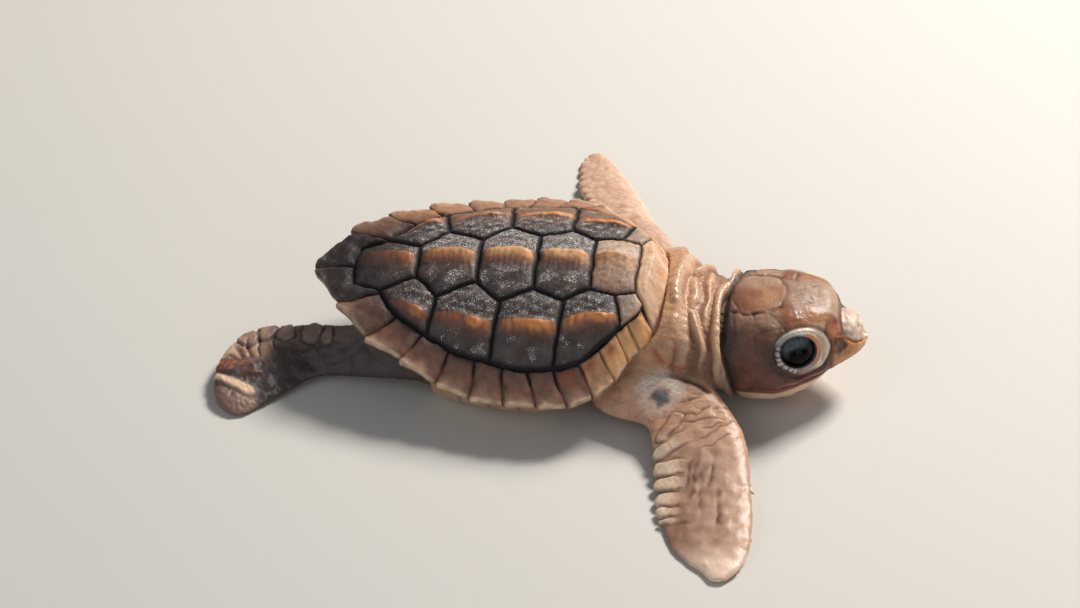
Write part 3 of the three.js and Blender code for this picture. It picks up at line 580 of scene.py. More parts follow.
def back_scute(outline, kind, seam_width):
    """One scute of the back. kind is vertebral, costal, shoulder or front; seam_width is half a seam."""
    outline = counter_clockwise(outline)
    bm, flat, distance = cut_sheet(outline, SHEET_STEP)
    x, y = flat.T
    near = distance.min(1)
    length = np.ptp(outline[:, 0])
    part = (x - outline[:, 0].min()) / length
    groove = bump(near, 0, seam_width)
    if kind == "front":
        angle, reach = heading(x, y)
        groove = groove * smooth(0.2, 0.8, rim_reach(angle) - reach)
    swell = 0.3 * (1 - bump(near, 0, 1.1))
    relief = 0
    across = keel_distance(kind, x, y, part)
    ridge = np.where(across < 0, bump(across, 0, 0.5), np.exp(-((np.maximum(across, 0) / 1.25) ** 1.5)))
    lens = smooth(0.0, 0.3, part) * smooth(1.02, 0.72, part)
    if kind == "vertebral":
        relief = 0.75 * ridge * (0.3 + 0.7 * lens) * smooth(0, 0.8, near)
    if kind == "costal":
        knob = np.exp(-((((part - 0.68) * length / 0.95) ** 2 + ((across - 0.35) / 0.6) ** 2)) ** 1.5)
        relief = (0.42 * ridge * smooth(0.1, 0.5, part) + 0.36 * knob) * smooth(0, 1.0, near)
    grain = 0.02 * drift(flat, 0.9, 31) + 0.012 * drift(flat, 0.45, 33)
    grain += 0.018 * np.sin(near * 9 + 1.5 * drift(flat, 5, 35)) * smooth(0.3, 0.8, near)
    z = shell_top(x, y) + swell + relief + grain - 0.42 * groove
    set_positions(bm, wandering(stacked(x, y, z)))
    tint = scute_tint(kind, flat, part, near, groove)
    paint(bm, tint, speckle=speckle_amount(kind, flat, part, near), dull=smooth(0.02, 0.4, groove))
    skirted(bm, 0.1 - SCUTE_THICK)
    set_positions(bm, from_shell(positions(bm)))
    return bm


def scute_tint(kind, flat, part, near, groove):
    x, y = flat.T
    patch, fine = drift(flat, 2.6, 41), drift(flat, 0.8, 43)
    streaky = drift(flat * [1, 0.25], 1.0, 47)
    across = keel_distance(kind, x, y, part)
    to_front = smooth(-19, 6, x)
    if kind == "front":
        return layered(
            plain("cfa687", len(x)),
            ("e0c1a4", 0.4 + 0.35 * patch),
            ("c98d5c", 0.4 * smooth(0.1, 1.0, drift(flat, 3.1, 45))),
            ("6a4433", 0.8 * smooth(0.3, 0.9, groove)),
        )
    if kind == "shoulder":
        return layered(
            plain("a58c78", len(x)),
            ("c9a488", smooth(1.0, 0.3, near) * 0.8),
            ("8a7668", 0.4 + 0.4 * patch),
            (SEAM_BLACK, smooth(0.3, 0.9, groove)),
        )
    colours = layered(
        plain(DARK_HORN, len(x)),
        ("524a4a", 0.35 + 0.35 * patch + 0.15 * fine),
        ("5d4136", 0.35 * smooth(-0.2, 1.2, drift(flat, 3.3, 49))),
    )
    crisp = smooth(-0.3, 0.08, across)
    lens = smooth(0.0, 0.22, part) * smooth(1.02, 0.8, part)
    if kind == "vertebral" and x.mean() > PALE_X:
        colours = layered(
            colours,
            ("b08a70", 0.85 + 0.1 * fine),
            ("cbb19b", 0.8 * smooth(0.1, -0.6, across) * (0.8 + 0.2 * patch)),
            ("c98a55", 0.8 * crisp * bump(across, 0.2, 0.8) * smooth(1.0, 0.3, part)),
            ("dab08a", 0.7 * crisp * bump(across, 0.9, 0.7) * smooth(0.2, 0.9, part)),
            ("7f675a", 0.55 * smooth(1.4, 3.4, across) * (0.8 + 0.3 * patch)),
            ("6e4b3c", 0.4 * smooth(0.3, 1, drift(flat, 1.3, 53))),
        )
    elif kind == "vertebral":
        reach = lens * smooth(0.0, 0.25, near) * (0.3 + 0.7 * smooth(-17, -9, x))
        sunk = across - 0.5 * smooth(0.6, 1, part)
        pale = bump(across, 0.35, 0.55) * (0.8 + 0.4 * fine) * bump(part, 0.5, 0.4)
        # Along the keel's gentle side, the orange streak is partly the horn's own orange and partly painted light,
        # and the pale spot on the crest is a painted highlight.
        colours = layered(
            colours,
            ("6b4030", 0.95 * reach * crisp * bump(sunk, 0, 1.75)),
            (layered(plain("b4693c", len(x)), ("e29a5f", to_front)),
             reach * crisp * bump(sunk, 0, 0.98) * (0.95 + 0.2 * streaky)),
            ("ecc49a", 0.8 * reach * pale * smooth(-12, 6, x)),
        )
    else:
        reach = smooth(0.0, 0.3, part) * smooth(0.0, 0.7, near) * (0.35 + 0.65 * smooth(-15, -6, x))
        share = reach * crisp * bump(across, 0, 0.85) * (0.9 + 0.3 * streaky)
        knob = smooth(1.1, 0.7, np.hypot((part - 0.68) / 0.14, (across - 0.4) / 0.6) + 0.15 * fine)
        # The orange streak along the keel is partly the horn's own orange and partly painted light; the bright colour
        # on the knob is a painted highlight.
        colours = layered(
            colours,
            ("6b4030", 0.85 * reach * crisp * bump(across, 0, 1.5)),
            ("a3603a", share * smooth(14, 4, x)),
            ("d98d50", share * smooth(-2, 6, x)),
            ("d98c4e", 0.85 * knob * reach * (0.45 + 0.55 * to_front)),
        )
    # The scutes of the left side are painted lighter and warmer as if lit from that side.
    return layered(
        colours,
        (DARK_HORN, 0.75 * bump(near, 0, 0.55) * (0.35 if x.mean() > PALE_X else 1)),
        ("1b1717", 0.5 * smooth(-12, -17.5, x)),
        ("b07b55", 0.3 * smooth(6, 11, y)),
        (SEAM_BLACK, smooth(0.05, 0.6, groove)),
    )


def speckle_amount(kind, flat, part, near):
    """How thickly the pale specks lie: thick above the keel and low down, almost none beside it."""
    x, y = flat.T
    across = keel_distance(kind, x, y, part)
    patch, broad, to_front = drift(flat, 1.3, 51), drift(flat, 3.0, 55), smooth(-2, 9, x)
    above = smooth(-0.1, -0.45, across)
    if kind == "vertebral":
        below = smooth(1.5, 3.1, across) * smooth(-0.9, 0.9, broad + 0.5 * patch)
        zone = np.maximum(above * (0.85 + 0.1 * to_front + 0.2 * patch), 0.85 * below)
        zone = zone * (0.45 if x.mean() > PALE_X else 1)
    elif kind == "costal":
        below = smooth(1.0, 2.2, across) * smooth(0.2, 1.3, broad + 0.4 * patch)
        zone = np.maximum(above * (0.55 + 0.35 * patch), 0.9 * below)
    else:
        zone = (0.6 if kind == "shoulder" else 0.06) + 0.15 * patch
    return np.clip(zone, 0, 1.2) * smooth(0.15, 0.5, near) * smooth(-18, -9, x)


for index in range(5):
    width = SCUTE_SEAM if index else FRONT_SEAM
    vertebral = back_scute(vertebral_outline(index), "vertebral", width)
    finished(f"vertebral scute {index + 1}", vertebral, HORN, [f"vertebral_{index + 1}"])
    for side, sign in SIDES:
        outline = [(x, y * sign) for x, y in costal_outline(index)]
        costal = back_scute(outline, "costal" if index else "shoulder", width)
        finished(f"{side} costal scute {index + 1}", costal, HORN, [f"costal_{side}_{index + 1}"])

front_half = [CORNER["v1n"], (19.45, 5.52), (21.25, 6.95)]
front_angles = np.linspace(0.24, -0.24, 9)
rim_front = stacked(*flat_place(front_angles, rim_reach(front_angles)))
nuchal = back_scute([*front_half, *rim_front, *mirrored(front_half)[::-1]], "front", NUCHAL_SEAM)
finished("nuchal scute", nuchal, HORN, ["nuchal"])

# ---- Marginal scutes ----------------------------------------------------------------------------
MARGINALS = len(RIM_SEAMS)
MARGIN_SEAM = 0.26
REDDISH_MARGINALS = (2, 3, 4)
rim_half = [*RIM_SEAMS, RIM_TAIL]


def rim_angle(index, t):
    """Direction of the rim a share t of the way along one marginal scute of the left side."""
    first = RIM_STEPS * (index + 1)
    return np.interp(t, np.linspace(0, 1, RIM_STEPS + 1), rim_angles[first : first + RIM_STEPS + 1])


def marginal_scute(index, sign):
    length = np.linalg.norm(np.subtract(rim_half[index + 1], rim_half[index]))
    bm = grid(int(length / SHEET_STEP), 56)
    place = positions(bm)
    t, turn = place[:, 0], place[:, 1] * 2 * np.pi
    towards_tail = index / (MARGINALS - 1)
    angle = rim_angle(index, t) * sign
    part = 0.5 - 0.5 * np.cos(turn)
    top = np.sin(turn) > 0
    seam = np.minimum(t, 1 - t) * length
    stand = (0.1 + 0.75 * towards_tail**1.5) * smooth(0.35, 1.0, t) ** 1.5
    reach_rim = rim_reach(angle)
    inner = inner_share(angle) * reach_rim
    corner = part**2 * stand
    reach = inner + part * (reach_rim - inner) + corner
    x, y = flat_place(angle, reach)
    share = np.minimum(reach, reach_rim - 1e-4) / reach
    thick = MARGIN_THICK * (1 - 0.25 * part)
    rounding = np.abs(np.sin(turn)) ** 0.45
    flat = stacked(x, y)
    groove, inner_groove = bump(seam, 0, MARGIN_SEAM), bump(reach, inner, MARGIN_SEAM)
    swell = 0.28 * (1 - bump(np.minimum(seam, reach - inner), 0, 0.7))
    lip = 0.22 * bump(part, 0.96, 0.1) * smooth(0.2, 0.9, t)
    rise = swell + lip - 0.34 * np.maximum(groove * (1 - 0.8 * smooth(0.3, 0.8, part)), inner_groove * 0.9)
    rise += 0.02 * drift(flat, 0.8, 61 + index) + 0.07 * drift(flat, 2.4, 81)
    z = shell_top(x * share, y * share) - thick / 2
    z = z + np.where(top, rise + rounding * thick / 2, -rounding * thick / 2 - 0.1 * groove)
    pull = 1 - 0.09 * groove * smooth(0.6, 1.0, part)
    middle = (inner + reach_rim) / 2
    x, y = flat_place(angle, middle + (reach - middle) * pull)
    set_positions(bm, from_shell(wandering(stacked(x, y, z))))
    tint = marginal_tint(index, flat, t, part, top, seam, reach - inner, groove)
    specks = 0.35 * smooth(0.9, 1.5, drift(flat, 1.8, 91)) * top
    dull = np.maximum(smooth(0.1, 0.6, groove), smooth(1.2, 0.4, reach - inner))
    paint(bm, tint, speckle=specks, dull=dull)
    close(bm)
    return bm


def marginal_tint(index, flat, t, part, top, seam, inside, groove):
    towards_tail = index / (MARGINALS - 1)
    patch = drift(flat, 1.9, 93)
    front = smooth(0.34, 0.16, towards_tail)
    tail = smooth(0.87, 0.99, towards_tail)
    # The inner part of each marginal is darkened as painted shade under the costal scutes' edge, and the scutes of
    # the left side are painted lighter as if lit from that side.
    colours = layered(
        plain("664739", len(t)),
        ("7c5644", 0.45 + 0.35 * patch),
        ("95573a", 0.4 * smooth(0.1, 1, drift(flat, 1.4, 97))),
        ("4b3b38", 0.85 * smooth(0.5, 0.05, part) * (1 - front)),
        ("f6bd84", front * (0.88 + 0.12 * patch)),
        ("c08a62", 0.45 * smooth(8, 12, flat[:, 1])),
    )
    if index in REDDISH_MARGINALS:
        colours = layered(colours, ("8d4526", 0.85 * bump(part, 0.25, 0.22) * bump(t, 0.6, 0.32)))
    shine = smooth(0.55, 0.95, part) * smooth(0.0, 0.45, t) * (0.8 + 0.2 * patch) * (1 - 0.7 * front)
    lip = smooth(0.9, 0.98, part) * (0.75 + 0.2 * patch) * smooth(0.1, 0.5, seam)
    seam_dark = smooth(0.3, 0.9, groove) * smooth(0.6, 0.3, part) * (1 - 0.6 * front)
    return layered(
        colours,
        ("b48f77", 0.75 * shine * (1 - tail)),
        ("d8c0a4", lip * 0.85 * (1 - 0.6 * tail)),
        ("251f20", 0.95 * tail * (1 - 0.35 * lip)),
        ("5a3d33", 0.5 * smooth(0.3, 0.9, groove) * top),
        (SEAM_BLACK, seam_dark * top),
        ("8c6550", 0.6 * ~top),
        (SEAM_BLACK, bump(inside, 0, 0.3) * (1 - 0.5 * front)),
    )


for side, sign in SIDES:
    band = joined([marginal_scute(i, sign) for i in range(MARGINALS)])
    finished(f"{side} marginal scutes", band, HORN, [f"marginals_{side}"])

# ---- Plastron and bridges -----------------------------------------------------------------------
PLASTRON_NAMES = ("gular", "humeral", "pectoral", "abdominal", "femoral", "anal")
PLASTRON_SEAMS = (16.8, 13.2, 8.2, 2.6, -4.4, -10.6, -16.6)
PLASTRON_HALF, PLASTRON_END, PLASTRON_STEP = 10.4, 17.2, 0.22
BRIDGE_FRONT, BRIDGE_REAR = 8.2, -7.6


def belly_bottom(x, y):
    return 0.012 * y * y + 0.004 * x * x


def plastron_half_width(x):
    return PLASTRON_HALF * np.sqrt(1 - np.minimum(1, np.abs(x) / PLASTRON_END) ** 2.6)


def belly_tint(flat, near):
    return layered(
        plain("d9bea0", len(flat)),
        ("c79a73", 0.35 + 0.35 * drift(flat, 3.5, 101)),
        ("c48e66", 0.3 * smooth(0, 1, drift(flat, 1.6, 103))),
        ("6e4330", 0.75 * bump(near, 0, 0.22)),
    )


def plastron_plate(index, sign):
    front, rear = PLASTRON_SEAMS[index : index + 2]
    xs = np.linspace(front, rear, 7)
    outline = [(front, 0), *[(x, plastron_half_width(x) * sign) for x in xs], (rear, 0)]
    bm, flat, distance = cut_sheet(counter_clockwise(outline), PLASTRON_STEP)
    x, y = flat.T
    near = distance.min(1)
    z = belly_bottom(x, y) + 0.2 * bump(near, 0, 0.25) + 0.012 * drift(flat, 0.9, 105)
    set_positions(bm, stacked(x, y, z))
    paint(bm, belly_tint(flat, near), speckle=0, dull=0)
    skirted(bm, PLASTRON_THICK)
    set_positions(bm, from_shell(positions(bm)))
    return bm


def bridge_plate(sign):
    bm = grid(64, 60)
    place = positions(bm)
    t, turn = place[:, 0], place[:, 1] * 2 * np.pi
    x = BRIDGE_REAR + (BRIDGE_FRONT - BRIDGE_REAR) * t
    foot_y = plastron_half_width(x) + 0.25
    foot_z = belly_bottom(x, foot_y) + 0.15
    angle = np.arctan2(foot_y * 1.5, x)
    top_y = np.abs(rim_reach(angle) * np.sin(angle)) - 1.2
    top_z = rim_height(angle) - MARGIN_THICK - 0.35
    part = 0.5 - 0.5 * np.cos(turn)
    y = foot_y + (top_y - foot_y) * part
    z = foot_z + (top_z - foot_z) * part
    flat = stacked(x, part * 8)
    seam = np.abs((t * 4 + 0.5) % 1 - 0.5) / 4 * (BRIDGE_FRONT - BRIDGE_REAR)
    groove = bump(seam, 0, 0.3)
    outward = np.where(np.sin(turn) > 0, 1, -1) * np.abs(np.sin(turn)) ** 0.6 * 0.42
    swell = np.sin(np.pi * part)
    y = y + 0.55 * swell + outward * 0.8 - 0.15 * groove
    z = z - 0.6 * swell - outward * 0.6 + 0.1 * groove
    set_positions(bm, from_shell(stacked(x, y * sign, z)))
    tint = layered(belly_tint(flat, seam), ("8c5636", 0.6 * smooth(0.45, 1, part)))
    paint(bm, tint, speckle=0, dull=0)
    close(bm)
    return bm


for side, sign in SIDES:
    finished(f"{side} bridge", bridge_plate(sign), HORN, [f"bridge_{side}"])
    for index, name in enumerate(PLASTRON_NAMES):
        plate = plastron_plate(index, sign)
        finished(f"{side} {name} plate", plate, HORN, [f"{name}_{side}"])

# ---- The body's rough forms ---------------------------------------------------------------------
# Each row is x, half width, height above, depth below and squareness, in the head's own frame.
HEAD_STATIONS = [
    [-1.6, 7.2, 5.8, 6.2, 2.3], [1.2, 8.4, 6.65, 7.1, 2.4], [4.2, 8.8, 7.0, 7.2, 2.5],
    [7.0, 8.6, 7.1, 6.9, 2.5], [9.2, 8.0, 7.1, 6.2, 2.45], [11.2, 7.0, 6.85, 5.0, 2.4],
    [12.4, 6.2, 6.65, 3.9, 2.35], [13.3, 5.5, 6.3, 3.2, 2.3], [13.9, 4.9, 5.4, 2.8, 2.2],
    [14.6, 4.4, 3.5, 2.5, 2.2], [16.2, 3.1, 2.9, 1.9, 2.1], [17.0, 2.1, 1.9, 1.6, 2.0],
    [17.7, 0.8, 0.2, 1.2, 2.0],
]
# Each row of the neck and the tail is the middle's x, y and z, half width and half height.
NECK_STATIONS = [
    [16.0, -0.8, 7.4, 9.2, 5.4], [21.6, -0.9, 7.3, 11.4, 7.2], [23.3, -1.0, 7.2, 11.2, 7.5],
    [24.2, -1.3, 7.2, 10.6, 7.0], [25.0, -1.7, 7.2, 10.4, 6.9], [25.8, -2.0, 7.1, 10.1, 6.8],
    [26.7, -2.3, 7.1, 9.9, 6.8], [27.6, -2.6, 7.1, 9.7, 6.7], [28.5, -2.8, 7.1, 9.6, 6.7],
    [29.1, -2.9, 7.1, 9.2, 6.4], [29.5, -3.0, 7.1, 8.2, 5.9],
]
# Each row of a flipper is a place on its front edge, one on its rear edge, and its thickness.
FRONT_RIGHT = [
    [25.0, -6.5, 6.4, 10.6, -11.0, 4.2, 4.4], [28.2, -11.6, 5.2, 14.2, -15.2, 3.0, 3.5],
    [31.2, -15.2, 4.3, 20.2, -17.6, 3.2, 2.5], [33.3, -18.4, 3.3, 21.6, -21.2, 2.2, 1.9],
    [34.4, -22.4, 2.3, 22.4, -24.8, 1.1, 1.6], [35.1, -27.0, 1.7, 23.0, -28.6, 0.65, 1.4],
    [35.7, -31.2, 1.35, 23.9, -32.6, 0.5, 1.25], [36.0, -35.0, 1.1, 25.0, -36.2, 0.4, 1.1],
    [35.8, -38.2, 0.9, 26.9, -39.4, 0.4, 0.95], [34.9, -40.9, 0.7, 29.3, -41.8, 0.4, 0.8],
    [33.4, -42.9, 0.5, 31.6, -43.2, 0.4, 0.6],
]
FRONT_LEFT = [
    [23.0, 6.5, 8.8, 9.6, 9.5, 7.4, 3.8], [20.6, 13.2, 7.9, 9.6, 15.4, 6.6, 3.3],
    [17.6, 19.2, 6.5, 9.2, 20.6, 5.3, 2.7], [15.9, 24.6, 4.8, 8.2, 25.2, 3.8, 2.1],
    [14.6, 28.8, 3.3, 7.0, 29.0, 2.4, 1.7], [13.0, 33.0, 2.1, 5.8, 33.2, 1.1, 1.4],
    [11.3, 36.8, 1.2, 5.3, 37.0, 0.5, 1.15], [9.6, 39.8, 0.8, 5.4, 39.9, 0.4, 0.9],
    [7.9, 41.8, 0.5, 6.2, 41.9, 0.4, 0.6],
]
REAR_RIGHT = [
    [-12.0, -4.2, 5.6, -7.6, -13.4, 3.9, 3.0], [-19.0, -5.2, 4.7, -17.2, -12.0, 2.4, 2.5],
    [-23.8, -5.0, 3.8, -22.8, -11.4, 1.3, 2.0], [-28.0, -5.1, 3.2, -25.6, -13.4, 0.8, 1.7],
    [-31.6, -5.6, 2.7, -27.6, -15.6, 0.6, 1.55], [-34.5, -7.4, 2.2, -29.2, -17.2, 0.5, 1.4],
    [-36.1, -10.8, 1.8, -30.4, -18.5, 0.45, 1.3], [-36.2, -15.0, 1.3, -31.4, -19.3, 0.4, 1.1],
    [-35.2, -18.0, 0.8, -32.8, -19.7, 0.4, 0.7],
]
REAR_LEFT = [
    [-7.6, 7.8, 7.6, -13.6, 4.4, 6.0, 2.8], [-7.4, 12.6, 6.0, -14.8, 9.6, 4.2, 2.3],
    [-7.8, 16.4, 4.5, -15.6, 13.2, 2.9, 1.9], [-8.8, 19.8, 3.1, -16.2, 16.8, 1.8, 1.6],
    [-10.2, 22.8, 1.8, -16.6, 20.2, 0.8, 1.3], [-12.0, 25.0, 1.0, -16.2, 23.2, 0.5, 1.0],
    [-13.6, 26.0, 0.6, -15.4, 25.2, 0.4, 0.6],
]
TAIL_STATIONS = [
    [-13.5, -1.0, 6.2, 3.4, 2.6], [-16.5, -1.2, 5.5, 2.5, 2.0], [-19.2, -1.4, 4.8, 1.6, 1.3],
    [-21.0, -1.5, 4.2, 0.7, 0.6],
]


def sample(rows, t):
    """Smooth values between rows at shares t of the whole way."""
    rows = np.array(rows, float)
    ends = np.vstack([2 * rows[0] - rows[1], rows, 2 * rows[-1] - rows[-2]])
    place = np.clip(t, 0, 1) * (len(rows) - 1)
    low = np.minimum(place.astype(int), len(rows) - 2)
    s = (place - low)[:, None]
    return curve_between(*(ends[low + i] for i in range(4)), s)


def super_point(turn, width, above, below, power):
    """A place on a squarish oval."""
    c, s = np.cos(turn), np.sin(turn)
    y = width * np.sign(c) * np.abs(c) ** (2 / power)
    z = np.where(s > 0, above, below) * np.sign(s) * np.abs(s) ** (2 / power)
    return y, z


def head_form(rows, place):
    x, width, above, below, power = sample(rows, place[:, 1]).T
    y, z = super_point(place[:, 0] * 2 * np.pi, width, above, below, power)
    return from_head(stacked(x, y, z))


def tube_form(rows, place):
    x, y, z, width, height = sample(rows, place[:, 1]).T
    dy, dz = super_point(place[:, 0] * 2 * np.pi, width, height, height, 2.2)
    return stacked(x, y + dy, z + dz)


def flipper_form(rows, place):
    values = sample(rows, place[:, 1])
    turn = place[:, 0] * 2 * np.pi
    across = 0.5 + 0.5 * np.cos(turn)
    points = values[:, 3:6] + (values[:, :3] - values[:, 3:6]) * across[:, None]
    points[:, 2] += values[:, 6] * (0.55 + 0.45 * across) * np.sin(turn)
    return points


FIRST_REACH, REACH_STEP, REACH_STEPS = 3.1, 0.1, 150


def plastron_reach(angle):
    """Distance from the middle to the plastron's edge, found in small steps outwards."""
    reach = np.full(len(angle), FIRST_REACH)
    for _ in range(REACH_STEPS):
        x, y = flat_place(angle, reach)
        inside = (np.abs(y) < plastron_half_width(x)) & (np.abs(x) < PLASTRON_END)
        reach = reach + REACH_STEP * inside
    return reach


def trunk_form(_, place):
    """The body under the shell: rings from under the crown, round the edge and in over the plastron."""
    angle = (place[:, 0] * 2 - 1) * np.pi
    inner, rim = inner_share(angle), rim_reach(angle)

    def under(share, fall):
        return stacked(share * rim, shell_top(*flat_place(angle, share * rim)) - fall)

    foot = plastron_reach(angle) + 0.1
    foot_z = belly_bottom(*flat_place(angle, foot)) + PLASTRON_THICK - 0.2
    side = under(inner + (1 - inner) * 0.62, MARGIN_THICK + 0.45)
    flank = stacked(side[:, 0] * 0.6 + foot * 0.4, side[:, 1] * 0.4 + foot_z * 0.6)
    drop = SCUTE_THICK + 0.35
    low = stacked(foot / 2, belly_bottom(foot / 2, 0) + PLASTRON_THICK + 0.3)
    rings = np.stack([
        under(0.02, drop), under(0.3, drop), under(0.6 * inner + 0.1, drop), under(inner - 0.03, drop + 0.1),
        side, flank, stacked(foot, foot_z), low, low * [0.05, 1],
    ])
    along = place[:, 1] * (len(rings) - 1)
    start = np.minimum(along.astype(int), len(rings) - 2)
    each = np.arange(len(place))
    share = (along - start)[:, None]
    reach, z = (rings[start, each] * (1 - share) + rings[start + 1, each] * share).T
    return from_shell(stacked(*flat_place(angle, reach), z))


def eye_frame(sign):
    place = Matrix.Translation((EYE_AT[0], EYE_AT[1] * sign, EYE_AT[2]))
    return place @ Matrix.Rotation(-EYE_FORWARD * sign, 4, "Z") @ Matrix.Rotation(EYE_TILT * sign, 4, "X")


def carried(points, frame):
    """Places given in a frame of its own, in the frame it stands in."""
    frame = np.array(frame)
    return points @ frame[:3, :3].T + frame[:3, 3]


def eye_sight(points, sign):
    """Head places seen from an eye: forwards, upwards and outwards."""
    x, y, z = carried(points, eye_frame(sign).inverted()).T
    return x, z, y * sign


def lid_form(sign):
    """The swelling of the eyelids round an eye."""
    bm = bmesh.new()
    bmesh.ops.create_uvsphere(bm, u_segments=48, v_segments=32, radius=1)
    set_positions(bm, from_head(carried(positions(bm) * LID_SIZE, eye_frame(sign))))
    return bm


PARTS = ("head", "neck", "trunk", "tail", "front right", "front left", "rear right", "rear left")


def rough_parts():
    """The lofts that make up the skin: name, mesh and each corner's place on its loft."""
    shapes = {
        "head": (96, 110, HEAD_STATIONS, head_form),
        "neck": (128, 90, NECK_STATIONS, tube_form),
        "trunk": (96, 60, None, trunk_form),
        "tail": (40, 40, TAIL_STATIONS, tube_form),
        "front right": (80, 180, FRONT_RIGHT, flipper_form),
        "front left": (80, 160, FRONT_LEFT, flipper_form),
        "rear right": (80, 130, REAR_RIGHT, flipper_form),
        "rear left": (80, 100, REAR_LEFT, flipper_form),
    }
    for name, (around, along, rows, form) in shapes.items():
        bm = grid(around, along)
        place = positions(bm)
        set_positions(bm, form(rows, place))
        yield name, bm, place


# ---- One skin over head, neck, trunk, tail and flippers -----------------------------------------
SKIN_CELL = 0.36
# Skin that lies this far in from the shell's edge is hidden and needs few faces.
HIDDEN_DEPTH = 1.5
# How the view looks on the turtle: from its right side and from above.
TOWARDS_SIDE, UP = 0.77, 0.63


def evaluated(mesh, name, kind, **settings):
    """The mesh after one modifier."""
    item = in_scene("rough skin", mesh)
    modifier = item.modifiers.new(name, kind)
    for weight, corners in settings.pop("hidden", {}).items():
        group = item.vertex_groups.get("hidden") or item.vertex_groups.new(name="hidden")
        group.add(corners.tolist(), weight, "REPLACE")
        modifier.vertex_group = "hidden"
    for key, value in settings.items():
        setattr(modifier, key, value)
    graph = bpy.context.evaluated_depsgraph_get()
    result = bpy.data.meshes.new_from_object(item.evaluated_get(graph))
    bpy.data.objects.remove(item)
    return result


def softened(bm, times):
    for _ in range(times):
        bmesh.ops.smooth_vert(bm, verts=bm.verts, factor=0.5, use_axis_x=True, use_axis_y=True, use_axis_z=True)


def mesh_values(mesh, name):
    values = np.empty(len(mesh.vertices) * 3)
    mesh.vertices.foreach_get(name, values)
    return values.reshape(-1, 3)


def tree_of(points):
    points = list(points)
    tree = KDTree(len(points))
    for i, point in enumerate(points):
        tree.insert(point, i)
    tree.balance()
    return tree


def under_shell(points):
    """How deep under the shell's edge each point lies, 0 outside."""
    angle, reach = heading(*to_shell(points)[:, :2].T)
    return np.maximum(rim_reach(angle) - reach, 0)


def finer(bm, wanted):
    """Cuts the faces round the wanted corners in four."""
    bm.verts.ensure_lookup_table()
    chosen = {bm.verts[i] for i in np.flatnonzero(wanted)}
    edges = [e for e in bm.edges if e.verts[0] in chosen and e.verts[1] in chosen]
    bmesh.ops.subdivide_edges(bm, edges=edges, cuts=1, use_grid_fill=True)


def seen_from_above(bm):
    normals = corner_normals(bm)
    side = np.maximum(-normals[:, 1], normals[:, 1] - 0.25)
    return side * TOWARDS_SIDE + normals[:, 2] * UP > -0.15


def skin_mesh():
    """Melts the rough forms into one closed surface, with the part and place of each corner."""
    tree_points, tree_parts, tree_places = [], [], []
    parts = []
    for name, bm, place in rough_parts():
        tree_points.append(positions(bm))
        tree_parts.append(np.full(len(place), PARTS.index(name)))
        tree_places.append(place[:, :2])
        close(bm)
        parts.append(bm)
    whole = joined([*parts, lid_form(1), lid_form(-1)])
    mesh = bpy.data.meshes.new("rough skin")
    whole.to_mesh(mesh)
    whole.free()
    melted = evaluated(mesh, "melt", "REMESH", mode="VOXEL", voxel_size=SKIN_CELL)
    covered = under_shell(mesh_values(melted, "co")) > HIDDEN_DEPTH
    downwards = mesh_values(melted, "normal")[:, 2] < -0.4
    deep, below = np.flatnonzero(covered), np.flatnonzero(downwards & ~covered)
    share = 1 - (0.9 * len(deep) + 0.6 * len(below)) / len(melted.vertices)
    hidden = {1.0: deep, 0.6: below}
    light = evaluated(melted, "lighten", "DECIMATE", ratio=share, hidden=hidden, vertex_group_factor=100)
    skin = bmesh.new()
    skin.from_mesh(light)
    softened(skin, 3)
    points = positions(skin)
    x, y = points[:, 0], points[:, 1]
    front = (x > 20.3) & (under_shell(points) < 0.5) & (y < 9)
    foot = (x < -20.5) & (y < -4)
    finer(skin, seen_from_above(skin) & (front | foot))
    for sign in (1, -1):
        a, b, c = eye_sight(to_head(positions(skin)), sign)
        finer(skin, (np.hypot(a - 0.6, b) < 4.3) & (np.hypot(a, b - 0.3) > 1.7) & (c > 0.2))
    softened(skin, 2)
    points = positions(skin)
    part_of = np.concatenate(tree_parts)
    place_of = np.concatenate(tree_places)
    tree = tree_of(np.concatenate(tree_points))
    nearest = np.array([[found[1] for found in tree.find_n(point, 3)] for point in points])
    part = part_of[nearest[:, 0]]
    same = (part_of[nearest] == part[:, None]).astype(float)
    place = (place_of[nearest] * same[:, :, None]).sum(1) / same.sum(1)[:, None]
    place[:, 0] = np.where(np.ptp(place_of[nearest, 0], axis=1) > 0.5, 0, place[:, 0])
    return skin, points, part, place


skin, skin_points, skin_part, skin_place = skin_mesh()

# ---- Lines and spots on the skin ----------------------------------------------------------------
# Stands for a distance where nothing is near.
FAR = 9.0


def path_distance(points, path):
    """Distance to a bent line, and where along it (0 to 1) the nearest spot lies."""
    path = np.array(path, float)
    points = points[:, : path.shape[1]]
    lengths = np.linalg.norm(np.diff(path, axis=0), axis=1)
    starts = np.concatenate([[0], np.cumsum(lengths)])
    best, along = np.full(len(points), np.inf), np.zeros(len(points))
    for a, b, start, length in zip(path, path[1:], starts, lengths):
        t = np.clip((points - a) @ (b - a) / length**2, 0, 1)
        away = np.linalg.norm(points - a - t[:, None] * (b - a), axis=1)
        along = np.where(away < best, (start + t * length) / starts[-1], along)
        best = np.minimum(best, away)
    return best, along


def line(points, path, width, ends=0.15):
    """1 on a bent line, fading sideways and towards both ends."""
    away, along = path_distance(points, path)
    return bump(away, 0, width) * smooth(0, ends, along) * smooth(1, 1 - ends, along)


def lines(points, paths, width, ends=0.15):
    return np.max([line(points, path, width, ends) for path in paths], axis=0)


def spot(points, centre, *radii):
    """1 at the centre of an oval spot, 0 outside it."""
    away = (points[:, : len(centre)] - centre) / radii
    return smooth(1, 0.55, np.linalg.norm(away, axis=1))


